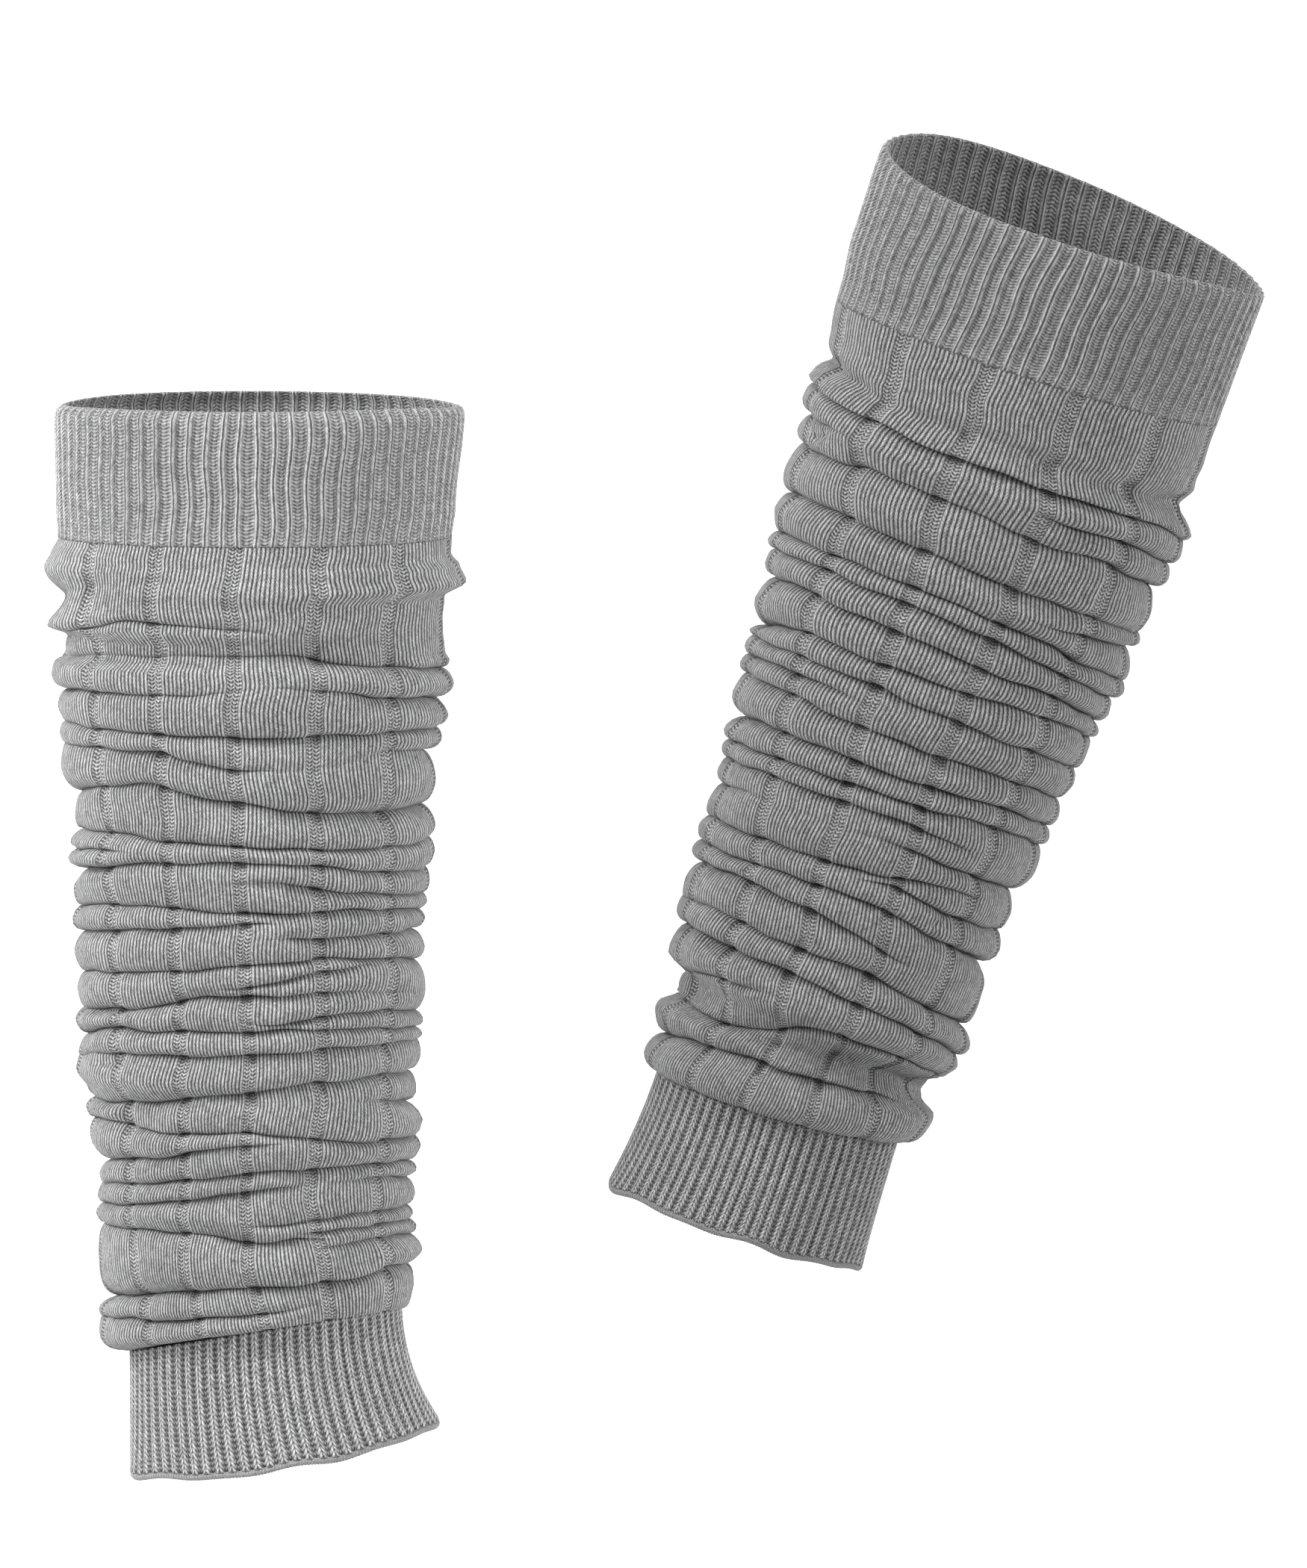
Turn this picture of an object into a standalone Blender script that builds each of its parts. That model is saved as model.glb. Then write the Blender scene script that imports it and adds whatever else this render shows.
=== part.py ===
"""A pair of slouched rib-knit leg warmers, held in the form they have when worn.

Each leg warmer is one knitted tube in four stretches, from the calf down:
a ribbed top cuff, a long leg that slouches in uneven rolls, a ribbed ankle cuff
that flares, and a narrow elastic hem edge. Every stretch is a closed wall round
an open hollow. Ribs and ladders are raised on the outside only.

Row frame: +Z up, +X to the viewer's right, +Y away from the viewer.
The origin is the middle of the left top cuff, where the calf holds it.
Sizes below are millimetres and degrees unless a name says otherwise.
"""

from collections import namedtuple
from math import cos, pi, radians, sin, sqrt

import bmesh
import bpy

MM = 0.001

# ---------------------------------------------------------------- the knit
WALL = 2.4              # cloth thickness under a crest
SEAM_GAP = 0.3          # clearance between two stretches at their seam
RIBS = 66               # raised ribs round each cuff
RIB_HEIGHT = 1.0        # how far a rib stands over the groove beside it
LADDERS = 12            # ladder wales down each leg
LADDER_DEPTH = 1.2
LADDER_SHOULDERS = (8.0 / 30.0, 22.0 / 30.0)   # shares of the pitch, either side of a panel
OVALNESS = 0.11         # (width - depth) / (width + depth), for spacing wales evenly
INNER_POINTS = 16       # the inside of a leg is smooth

# ---------------------------------------------------------------- the folds
FOLD_SPREAD = 6.0       # a crease's side reaches the crest within this height
STEEPEST = 0.8          # a crease is no deeper than this share of the roll beside it
WIDE_ROLL = 10.0        # rolls taller than this take two crest rings
WIDE_CREST = (0.2, 0.8)
NARROW_CREST = (0.5,)

TUCK_LIFT = 2.0         # the inside of the last roll ends this much above the ankle seam

# ---------------------------------------------------------------- the hem edge
HEM_HEIGHT = 2.0
HEM_THICKNESS = 1.6
HEM_INSET = 0.6         # its outside lies this far in from the cuff's ribs
HEM_WAVES = 9
HEM_WAVE = 0.5
HEM_POINTS = 36

DEPTH_SHARE_TOP = 0.80      # depth over width of a section at the calf
DEPTH_SHARE_HEM = 0.86      # and at the hem
FULL_HEIGHT = 330.0
SHARP_ANGLE = 50.0          # faces meeting at more than this are drawn with an edge
COLLECTION = "leg_warmers"

# A fold is given by its height and its depth at eight stations round the tube.
STATIONS = ("left", "front_left", "front", "front_right",
            "right", "back_right", "back", "back_left")
FIRST_STATION = -90.0       # angle of "left"; 0 is the front, +90 the right
STATION_STEP = 45.0
FRONT_SHARE = (0.0, 0.7, 1.0, 0.7, 0.0, 0.0, 0.0, 0.0)     # how far forward each station is

Edge = namedtuple("Edge", "height left right")
Crease = namedtuple("Crease", "name heights depths")
Cuff = namedtuple("Cuff", "left right")
Seam = namedtuple("Seam", "left front right")
Warmer = namedtuple("Warmer", "side place lean bow rise spine outline creases top_seam "
                              "rim ankle_seam ankle_tuck ankle hem first_ladder rib_twist")

# Crests of the rolls: the outline's left and right edges at each height.
LEFT_OUTLINE = (
    Edge(332.0, -67.2, 58.0),
    Edge(320.0, -68.0, 58.0),
    Edge(300.0, -67.5, 55.5),
    Edge(290.5, -67.0, 54.3),
    Edge(284.0, -70.0, 55.0),
    Edge(278.5, -71.2, 58.0),
    Edge(273.0, -71.2, 55.0),
    Edge(263.0, -71.5, 52.0),
    Edge(248.0, -69.0, 54.5),
    Edge(235.5, -67.0, 53.0),
    Edge(222.0, -66.3, 50.0),
    Edge(204.0, -62.5, 48.7),
    Edge(192.0, -64.0, 48.5),
    Edge(182.0, -62.5, 47.3),
    Edge(172.0, -63.0, 46.0),
    Edge(150.0, -61.5, 46.0),
    Edge(141.5, -62.5, 45.0),
    Edge(132.0, -61.0, 44.3),
    Edge(120.0, -58.8, 43.5),
    Edge(109.0, -58.5, 45.5),
    Edge(94.0, -55.3, 43.0),
    Edge(80.0, -55.0, 42.5),
    Edge(70.0, -54.8, 44.5),
    Edge(57.0, -54.6, 42.5),
    Edge(46.0, -55.0, 42.5),
    Edge(30.0, -54.0, 42.5),
)
LEFT_CREASES = (
    Crease("yoke", (270.5, 275.0, 277.0, 275.0, 272.0, 274.0, 276.0, 272.0),
           (6.0, 1.5, 1.0, 1.5, 2.5, 2.0, 2.5, 4.0)),
    Crease("shelf", (257.0, 254.3, 254.2, 251.0, 250.2, 252.0, 254.0, 256.0),
           (6.0, 2.5, 3.0, 4.5, 3.2, 3.0, 3.0, 4.0)),
    Crease("shoulder", (243.3, 242.3, 243.5, 241.3, 241.0, 243.0, 241.0, 242.0),
           (4.2, 3.0, 0.5, 4.0, 5.8, 3.5, 3.0, 3.5)),
    Crease("sash", (234.0, 231.0, 228.7, 230.0, 232.0, 231.0, 229.0, 231.5),
           (1.5, 3.5, 4.5, 3.5, 3.2, 3.5, 4.0, 2.5)),
    Crease("sash_return", (227.0, 225.2, 219.0, 222.0, 225.0, 220.0, 219.0, 223.5),
           (1.6, 3.0, 2.0, 0.8, 4.8, 3.0, 2.5, 3.0)),
    Crease("upper_belt", (212.5, 214.3, 208.0, 205.4, 208.5, 209.5, 209.0, 210.5),
           (3.6, 3.5, 4.0, 4.5, 5.0, 4.0, 4.5, 3.5)),
    Crease("lower_belt", (200.5, 198.8, 194.8, 194.4, 198.0, 198.5, 197.0, 199.5),
           (3.5, 3.5, 4.0, 3.5, 1.8, 2.5, 3.5, 4.0)),
    Crease("deep_notch", (188.0, 189.8, 189.8, 187.5, 188.5, 190.5, 188.0, 186.5),
           (7.5, 4.5, 3.5, 3.5, 2.4, 4.0, 4.5, 5.0)),
    Crease("right_dimple", (182.5, 183.5, 183.5, 180.3, 180.6, 182.0, 180.0, 180.5),
           (0.0, 0.0, 1.0, 3.0, 1.8, 3.0, 1.5, 0.5)),
    Crease("knee_upper", (176.5, 176.8, 174.0, 175.5, 175.5, 174.0, 173.5, 175.0),
           (3.2, 3.0, 4.0, 3.0, 2.6, 3.0, 3.5, 3.0)),
    Crease("knee_lower", (168.7, 169.2, 169.5, 167.4, 169.5, 167.0, 165.5, 167.0),
           (4.0, 3.5, 1.5, 3.0, 4.4, 3.0, 2.5, 3.0)),
    Crease("middle_upper", (156.5, 156.0, 158.3, 160.3, 160.0, 158.0, 156.5, 155.0),
           (2.8, 3.0, 3.0, 3.0, 3.5, 4.0, 3.0, 3.5)),
    Crease("middle", (145.0, 144.7, 148.5, 149.0, 144.3, 149.0, 147.5, 146.0),
           (2.4, 3.5, 3.5, 2.5, 2.8, 3.0, 3.5, 3.0)),
    Crease("middle_lower", (136.5, 138.8, 138.0, 138.9, 139.0, 137.5, 138.5, 136.0),
           (3.6, 4.0, 4.0, 2.5, 2.4, 3.5, 3.0, 3.0)),
    Crease("soft_roll", (130.0, 131.0, 131.0, 133.5, 134.0, 130.0, 129.5, 129.0),
           (0.5, 2.0, 3.0, 3.0, 0.8, 2.5, 3.0, 2.0)),
    Crease("rising", (117.5, 115.6, 118.5, 123.5, 125.5, 122.0, 119.0, 117.0),
           (3.0, 2.5, 3.5, 3.5, 3.2, 3.5, 3.0, 3.0)),
    Crease("crossing_upper", (111.0, 108.4, 105.8, 103.3, 105.5, 108.0, 108.0, 109.5),
           (2.7, 3.0, 3.5, 3.5, 4.2, 3.5, 3.0, 2.5)),
    Crease("crossing_lower", (97.7, 98.2, 101.5, 99.8, 101.0, 99.5, 97.0, 96.5),
           (4.0, 3.5, 2.0, 0.3, 0.0, 1.5, 3.0, 3.5)),
    Crease("long_upper", (90.5, 90.3, 93.5, 96.4, 97.5, 94.0, 91.0, 90.0),
           (1.0, 2.5, 3.0, 3.0, 2.8, 3.0, 2.5, 2.5)),
    Crease("long_lower", (84.0, 83.9, 88.0, 91.3, 92.4, 88.0, 85.5, 84.5),
           (1.8, 3.0, 2.0, 1.5, 3.5, 2.5, 3.0, 2.5)),
    Crease("right_short", (81.2, 80.4, 78.5, 81.3, 83.5, 82.5, 80.0, 80.2),
           (0.0, 0.0, 1.5, 3.0, 2.2, 2.0, 0.5, 0.0)),
    Crease("shin", (77.8, 76.3, 72.2, 76.5, 78.8, 76.5, 74.5, 76.0),
           (1.8, 3.0, 4.5, 2.5, 2.4, 3.5, 4.0, 3.0)),
    Crease("ankle_roll", (57.0, 56.0, 57.3, 61.0, 66.0, 63.0, 59.0, 57.5),
           (6.0, 4.5, 4.0, 4.0, 3.5, 4.5, 5.0, 5.5)),
)
LEFT_ANKLE = (          # the ankle cuff's edges at its seam, half way down and at its foot
    Cuff(-45.0, 38.5),
    Cuff(-45.0, 42.3),
    Cuff(-45.0, 50.5),
)

RIGHT_OUTLINE = (
    Edge(330.0, -61.5, 61.7),
    Edge(318.0, -63.3, 63.0),
    Edge(303.0, -62.9, 62.5),
    Edge(285.5, -61.1, 62.2),
    Edge(268.0, -59.6, 61.5),
    Edge(262.0, -60.6, 61.0),
    Edge(257.0, -62.8, 62.5),
    Edge(247.4, -61.5, 65.3),
    Edge(239.0, -59.8, 63.8),
    Edge(231.0, -59.5, 62.9),
    Edge(222.0, -59.4, 61.5),
    Edge(214.0, -58.2, 61.0),
    Edge(203.0, -57.6, 59.8),
    Edge(194.0, -56.2, 60.4),
    Edge(186.0, -55.6, 58.5),
    Edge(179.0, -54.8, 57.2),
    Edge(171.0, -54.4, 55.7),
    Edge(158.0, -53.5, 54.4),
    Edge(145.0, -52.5, 53.1),
    Edge(132.0, -50.4, 52.0),
    Edge(121.0, -49.4, 50.0),
    Edge(108.0, -49.6, 50.5),
    Edge(93.0, -48.8, 48.8),
    Edge(75.0, -46.3, 50.7),
    Edge(67.0, -45.3, 48.8),
    Edge(56.0, -44.4, 48.0),
    Edge(42.0, -43.6, 48.0),
    Edge(30.0, -43.6, 48.0),
)
RIGHT_CREASES = (
    Crease("shelf", (260.5, 252.0, 250.3, 250.3, 251.0, 252.0, 254.0, 257.0),
           (2.6, 2.0, 1.2, 1.5, 3.5, 3.0, 2.0, 2.5)),
    Crease("shoulder", (251.5, 247.2, 244.0, 244.1, 242.8, 244.0, 246.5, 249.0),
           (3.0, 4.0, 4.5, 5.0, 1.5, 3.0, 4.0, 4.0)),
    Crease("right_tuck", (243.3, 241.5, 238.0, 236.2, 234.4, 235.5, 238.0, 241.0),
           (3.2, 0.8, 0.0, 4.0, 2.6, 2.5, 2.0, 3.0)),
    Crease("sash", (233.5, 232.0, 229.8, 228.8, 226.8, 228.0, 229.0, 231.0),
           (3.0, 3.5, 2.5, 2.5, 4.6, 3.5, 3.0, 3.0)),
    Crease("upper_belt", (218.6, 216.9, 213.1, 211.9, 212.2, 214.0, 217.0, 219.0),
           (3.6, 4.0, 4.0, 3.5, 1.5, 3.5, 4.0, 3.5)),
    Crease("right_notch", (211.0, 210.0, 207.5, 205.2, 206.9, 208.5, 210.0, 211.5),
           (0.0, 0.0, 0.5, 3.0, 3.8, 3.0, 1.0, 0.0)),
    Crease("lower_belt", (206.2, 204.3, 201.9, 198.6, 196.3, 199.5, 203.0, 205.5),
           (2.8, 3.0, 3.5, 4.0, 1.5, 3.0, 3.5, 3.0)),
    Crease("thin_roll", (200.6, 199.2, 196.7, 191.9, 190.0, 193.0, 196.5, 199.0),
           (2.0, 2.5, 3.5, 4.0, 2.5, 3.0, 3.0, 3.0)),
    Crease("hollow", (192.3, 190.8, 187.4, 184.3, 181.8, 186.0, 189.0, 191.0),
           (4.7, 4.0, 3.0, 4.5, 3.0, 4.0, 3.5, 4.0)),
    Crease("knee_upper", (178.3, 179.2, 177.1, 177.7, 176.4, 178.0, 179.0, 178.5),
           (4.8, 3.0, 3.5, 3.5, 2.0, 3.0, 3.5, 4.0)),
    Crease("knee_middle", (173.8, 171.9, 168.8, 166.6, 166.0, 168.0, 170.5, 172.5),
           (1.5, 2.5, 3.0, 3.0, 2.2, 3.0, 3.0, 2.0)),
    Crease("left_short", (167.6, 166.4, 163.5, 161.5, 161.0, 162.5, 164.5, 166.5),
           (2.2, 3.0, 0.0, 0.0, 0.0, 0.0, 2.0, 3.0)),
    Crease("knee_lower", (162.0, 160.0, 156.5, 155.9, 155.7, 156.5, 158.5, 161.0),
           (2.2, 3.0, 3.5, 3.5, 2.8, 3.5, 3.0, 3.0)),
    Crease("waist", (149.5, 147.8, 146.0, 146.9, 146.8, 147.5, 149.0, 150.0),
           (6.5, 4.0, 4.5, 4.0, 2.0, 3.5, 4.5, 5.0)),
    Crease("band_upper", (140.9, 140.0, 139.5, 140.8, 140.5, 141.5, 141.0, 141.0),
           (1.8, 3.5, 4.0, 3.0, 2.3, 3.0, 3.5, 3.0)),
    Crease("band_lower", (135.5, 134.3, 134.0, 132.4, 132.0, 133.5, 134.5, 135.0),
           (1.8, 2.5, 3.0, 2.5, 0.0, 1.5, 3.0, 2.5)),
    Crease("right_fold", (127.4, 127.0, 126.3, 124.6, 124.7, 126.0, 127.5, 127.5),
           (2.8, 0.8, 0.8, 4.0, 4.8, 3.5, 1.5, 2.0)),
    Crease("fork_upper", (116.9, 114.8, 115.2, 118.6, 118.5, 117.0, 117.5, 117.0),
           (1.9, 3.5, 3.5, 2.5, 0.0, 1.5, 3.0, 2.5)),
    Crease("fork_lower", (112.6, 111.2, 111.0, 110.8, 111.7, 112.0, 112.5, 112.5),
           (0.0, 0.0, 0.8, 4.0, 2.2, 3.0, 1.0, 0.0)),
    Crease("crossing", (109.0, 107.0, 106.6, 102.6, 100.4, 103.5, 106.5, 108.0),
           (2.2, 3.0, 3.5, 3.0, 6.3, 4.0, 3.0, 3.0)),
    Crease("slant", (102.6, 101.5, 97.2, 92.5, 91.5, 93.5, 97.5, 101.0),
           (3.4, 4.0, 4.0, 1.0, 0.0, 1.0, 3.0, 4.0)),
    Crease("shin_upper", (90.5, 88.8, 86.1, 81.8, 80.6, 83.5, 87.0, 89.5),
           (0.5, 2.5, 4.0, 4.0, 5.4, 4.0, 3.0, 2.0)),
    Crease("shin_lower", (84.4, 81.0, 77.1, 73.5, 70.8, 74.5, 78.5, 82.0),
           (4.2, 3.5, 3.5, 4.0, 2.8, 3.5, 3.5, 4.0)),
    Crease("left_hollow", (67.5, 70.0, 70.0, 67.8, 66.8, 68.5, 71.0, 70.0),
           (6.0, 3.5, 0.0, 0.0, 0.0, 0.0, 1.5, 4.0)),
    Crease("ankle_upper", (61.8, 58.0, 63.8, 64.2, 62.5, 61.0, 60.5, 61.5),
           (5.5, 3.5, 3.5, 4.0, 6.2, 5.0, 4.0, 5.0)),
    Crease("ankle_groove", (54.5, 53.7, 57.0, 56.9, 55.5, 54.5, 54.5, 55.0),
           (0.0, 0.5, 1.5, 3.0, 6.0, 4.0, 2.0, 0.5)),
    Crease("ankle_roll", (48.5, 49.0, 49.0, 50.8, 51.0, 49.0, 48.5, 48.5),
           (6.0, 4.0, 4.0, 3.0, 0.5, 3.0, 4.0, 5.5)),
)
RIGHT_ANKLE = (
    Cuff(-38.0, 39.0),
    Cuff(-38.8, 39.7),
    Cuff(-41.3, 40.3),
)

LEFT_WARMER = Warmer(
    side="left", place=(5.5, 0.0, -310.0), lean=0.0, bow=0.0, rise=(5.3, 3.0),
    spine=((330.0, -5.0), (220.0, -8.0), (120.0, -7.5), (60.0, -6.0), (20.0, -3.0)),
    outline=LEFT_OUTLINE, creases=LEFT_CREASES,
    top_seam=Seam(290.5, 290.8, 290.5),
    rim=(331.2, 332.0, 332.0, 332.0, 330.6, 331.5, 332.0, 332.0),
    ankle_seam=Seam(39.5, 49.0, 51.0),
    ankle_tuck=(9.7, 8.0, 5.6, 4.5, 4.0, 4.5, 5.0, 8.0),
    ankle=LEFT_ANKLE, hem=(2.8, 18.3), first_ladder=-1.0, rib_twist=0.0)
RIGHT_WARMER = Warmer(
    side="right", place=(146.95, 0.0, -231.8), lean=18.6, bow=8.5, rise=(3.9, 10.2),
    spine=((330.0, 0.0), (220.0, 1.3), (120.0, 0.4), (60.0, 1.0), (0.0, 0.0)),
    outline=RIGHT_OUTLINE, creases=RIGHT_CREASES,
    top_seam=Seam(286.0, 284.2, 279.5),
    rim=(330.3, 329.8, 328.6, 328.1, 324.0, 325.0, 328.0, 330.0),
    ankle_seam=Seam(37.5, 38.6, 41.0),
    ankle_tuck=(5.6, 5.5, 6.0, 7.5, 9.0, 7.5, 6.0, 5.6),
    ankle=RIGHT_ANKLE, hem=(0.4, 0.4), first_ladder=14.5, rib_twist=4.0)

MATERIALS = {
    "left_top_cuff": (0.42, 0.42, 0.43), "left_leg": (0.38, 0.38, 0.39),
    "left_ankle_cuff": (0.36, 0.36, 0.37), "left_hem_edge": (0.30, 0.30, 0.31),
    "right_top_cuff": (0.34, 0.34, 0.35), "right_leg": (0.31, 0.31, 0.32),
    "right_ankle_cuff": (0.30, 0.30, 0.31), "right_hem_edge": (0.26, 0.26, 0.27),
}
YARN_ROUGHNESS = 0.95


# ---------------------------------------------------------------- reading the tables
def between(rows, height):
    """The value at a height, from rows of (height, value) listed from the top down."""
    if height >= rows[0][0]:
        return rows[0][1]
    for upper, lower in zip(rows, rows[1:]):
        if height >= lower[0]:
            share = (upper[0] - height) / (upper[0] - lower[0])
            share = share * share * (3.0 - 2.0 * share)
            return upper[1] + (lower[1] - upper[1]) * share
    return rows[-1][1]


def around(values, angle):
    """A smooth closed curve through the eight stations' values, at an angle."""
    place = (angle - FIRST_STATION) / STATION_STEP
    first = int(place // 1)
    share = place - first
    count = len(values)
    before, start, end, after = (values[(first + step) % count] for step in (-1, 0, 1, 2))
    slope_in = (end - before) / 2.0
    slope_out = (after - start) / 2.0
    square, cube = share * share, share * share * share
    return (start * (2.0 * cube - 3.0 * square + 1.0) + slope_in * (cube - 2.0 * square + share)
            + end * (3.0 * square - 2.0 * cube) + slope_out * (cube - square))


def depth_share(height):
    """Depth over width of the oval at a height."""
    share = height / FULL_HEIGHT
    return DEPTH_SHARE_HEM + (DEPTH_SHARE_TOP - DEPTH_SHARE_HEM) * share


def front_rise(warmer, height, angle):
    """Folds are listed on planes that fall toward the front; this lifts them level."""
    at_hem, at_top = warmer.rise
    rise = at_hem + (at_top - at_hem) * height / FULL_HEIGHT
    return rise * around(FRONT_SHARE, angle)


def seam_height(seam, angle):
    """A seam lies on a plane through its left, front and right heights."""
    middle = (seam.left + seam.right) / 2.0
    return (middle + (seam.right - middle) * sin(radians(angle))
            + (seam.front - middle) * cos(radians(angle)))


def even_angle(turn):
    """The oval's angle for an even share of the way round, both in degrees."""
    return turn - OVALNESS / 2.0 * sin(radians(2.0 * turn)) * 180.0 / pi


# ---------------------------------------------------------------- points on the cloth
def oval_point(left, right, middle, depth, angle, inset):
    """A point of an oval section, moved inward by the inset."""
    side, front = sin(radians(angle)), cos(radians(angle))
    half = right - middle if side > 0.0 else middle - left
    out_x, out_y = depth * side, -half * front
    length = sqrt(out_x * out_x + out_y * out_y)
    return middle + half * side - inset * out_x / length, -depth * front - inset * out_y / length


def bowed(warmer, x, y, z):
    """Bend the tube forward: level at the hem, tipped by the bow at the rim."""
    if warmer.bow == 0.0:
        return x * MM, y * MM, z * MM
    turn_per_height = radians(warmer.bow) / FULL_HEIGHT
    tip = turn_per_height * z
    return (x * MM,
            (y * cos(tip) - (1.0 - cos(tip)) / turn_per_height) * MM,
            (y * sin(tip) + sin(tip) / turn_per_height) * MM)


def tube_point(warmer, angle, height, inset):
    """A point of the leg or top cuff at an angle, height and inset from the crests."""
    left = between([(row.height, row.left) for row in warmer.outline], height)
    right = between([(row.height, row.right) for row in warmer.outline], height)
    middle = between(warmer.spine, height)
    depth = (right - left) / 2.0 * depth_share(height)
    x, y = oval_point(left, right, middle, depth, angle, inset)
    return bowed(warmer, x, y, height)


def ankle_point(warmer, angle, down, inset):
    """A point of the ankle cuff, down a share of the way from its seam to its foot."""
    place = down * (len(warmer.ankle) - 1)
    first = min(int(place), len(warmer.ankle) - 2)
    share = place - first
    upper, lower = warmer.ankle[first], warmer.ankle[first + 1]
    left = upper.left + (lower.left - upper.left) * share
    right = upper.right + (lower.right - upper.right) * share
    seam = seam_height(warmer.ankle_seam, angle) - SEAM_GAP / 2.0
    x, y = ankle_oval(left, right, angle, inset)
    foot = hem_height(warmer, left, right, x)
    return bowed(warmer, x, y, seam + (foot - seam) * down)


def ankle_oval(left, right, angle, inset):
    depth = (right - left) / 2.0 * DEPTH_SHARE_HEM
    return oval_point(left, right, (left + right) / 2.0, depth, angle, inset)


def hem_height(warmer, left, right, x):
    """The cuff's foot lies on a plane from its left end to its right end."""
    left_z, right_z = warmer.hem
    return left_z + (right_z - left_z) * (x - left) / (right - left)


# ---------------------------------------------------------------- meshes
def new_object(name, mesh_maker, parent):
    """Make a named object from a function that fills a bmesh, under a parent empty."""
    work = bmesh.new()
    mesh_maker(work)
    bmesh.ops.recalc_face_normals(work, faces=work.faces)
    if work.calc_volume(signed=True) < 0.0:
        bmesh.ops.reverse_faces(work, faces=work.faces)
    mesh = bpy.data.meshes.new(name)
    work.to_mesh(mesh)
    work.free()
    mesh.shade_smooth()
    mesh.set_sharp_from_angle(angle=radians(SHARP_ANGLE))
    mesh.materials.append(yarn_material(name))
    piece = bpy.data.objects.new(name, mesh)
    piece.parent = parent
    bpy.data.collections[COLLECTION].objects.link(piece)
    return piece


def yarn_material(name):
    material = bpy.data.materials.new(name + "_yarn")
    material.use_nodes = True
    shader = material.node_tree.nodes["Principled BSDF"]
    shader.inputs["Base Color"].default_value = (*MATERIALS[name], 1.0)
    shader.inputs["Roughness"].default_value = YARN_ROUGHNESS
    shader.inputs["Metallic"].default_value = 0.0
    return material


def ring_of(work, points):
    return [work.verts.new(point) for point in points]


def join_rings(work, first, second):
    """Faces between two closed rings that start at the same angle, whatever their counts."""
    if len(first) == len(second):
        for step, vertex in enumerate(first):
            after = (step + 1) % len(first)
            work.faces.new((vertex, first[after], second[after], second[step]))
        return
    a_step, b_step = 0, 0
    while a_step < len(first) or b_step < len(second):
        a_vertex, b_vertex = first[a_step % len(first)], second[b_step % len(second)]
        if (a_step + 1) / len(first) < (b_step + 1) / len(second):
            a_step += 1
            work.faces.new((a_vertex, first[a_step % len(first)], b_vertex))
        else:
            b_step += 1
            work.faces.new((a_vertex, second[b_step % len(second)], b_vertex))


def close_wall(work, outer, inner):
    """A wall from outer and inner rings, each listed from the top down."""
    for rings in (outer, inner):
        for upper, lower in zip(rings, rings[1:]):
            join_rings(work, upper, lower)
    join_rings(work, outer[0], inner[0])
    join_rings(work, outer[-1], inner[-1])


# ---------------------------------------------------------------- the leg
def all_levels(warmer):
    """Creases from the top seam to the ankle seam, both seams among them."""
    flat = (0.0,) * len(STATIONS)
    top = Crease("top_seam", warmer.top_seam, flat)
    foot = Crease("ankle_seam", warmer.ankle_seam, warmer.ankle_tuck)
    return (top, *warmer.creases, foot)


def level_height(warmer, level, angle):
    if isinstance(level.heights, Seam):
        return seam_height(level.heights, angle)
    height = around(level.heights, angle)
    return height + front_rise(warmer, height, angle)


def mean_height(level):
    return sum(level.heights) / len(level.heights)


def cusp(distance, spread):
    """1 in the crease and 0 past its spread, round like the side of a roll."""
    nearness = max(0.0, 1.0 - distance / spread)
    return 1.0 - sqrt(1.0 - nearness * nearness)


def roll_place(warmer, levels, index, share, angle):
    """Height and inset on the roll between a level and the next, down a share of it."""
    upper, lower = levels[index], levels[index + 1]
    top = level_height(warmer, upper, angle)
    foot = level_height(warmer, lower, angle)
    if index == 0:
        top -= SEAM_GAP / 2.0
    if index == len(levels) - 2:
        foot += SEAM_GAP / 2.0
    roll = top - foot
    spread = min(FOLD_SPREAD, roll / 2.0)
    inset = 0.0
    for level, distance in ((upper, share * roll), (lower, (1.0 - share) * roll)):
        deepest = around(level.depths, angle)
        if level not in (levels[0], levels[-1]):
            deepest = min(deepest, STEEPEST * roll)
        inset += max(0.0, deepest) * cusp(distance, spread)
    return top - share * roll, inset


def crease_place(warmer, levels, index, angle):
    """Height and inset in a crease itself, the shallower of its two sides."""
    if index == len(levels) - 1:
        return roll_place(warmer, levels, index - 1, 1.0, angle)
    height, inset = roll_place(warmer, levels, index, 0.0, angle)
    if index > 0:
        inset = min(inset, roll_place(warmer, levels, index - 1, 1.0, angle)[1])
    return height, inset


def ring_plan(levels):
    """(level, share) for each ring of the leg from the top down; share 0 is a crease."""
    plan = []
    for index, (upper, lower) in enumerate(zip(levels, levels[1:])):
        plan.append((index, 0.0))
        roll = mean_height(upper) - mean_height(lower)
        crest = WIDE_CREST if roll > WIDE_ROLL else NARROW_CREST
        plan.extend((index, share) for share in crest)
    plan.append((len(levels) - 1, 0.0))
    return plan


def leg_ring(warmer, levels, index, share, turns, extra, lift=0.0):
    """Points of one ring; extra gives the further inset at each turn."""
    points = []
    for turn, more in zip(turns, extra):
        angle = even_angle(turn)
        if share == 0.0:
            height, inset = crease_place(warmer, levels, index, angle)
        else:
            height, inset = roll_place(warmer, levels, index, share, angle)
        points.append(tube_point(warmer, angle, height + lift, inset + more))
    return points


def ladder_turns(warmer):
    """Turns and groove insets of the outer points: a ladder, then a panel's two shoulders."""
    pitch = 360.0 / LADDERS
    turns, insets = [], []
    for ladder in range(LADDERS):
        start = warmer.first_ladder + ladder * pitch
        turns.extend([start, *(start + pitch * share for share in LADDER_SHOULDERS)])
        insets.extend([LADDER_DEPTH, 0.0, 0.0])
    return turns, insets


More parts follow.
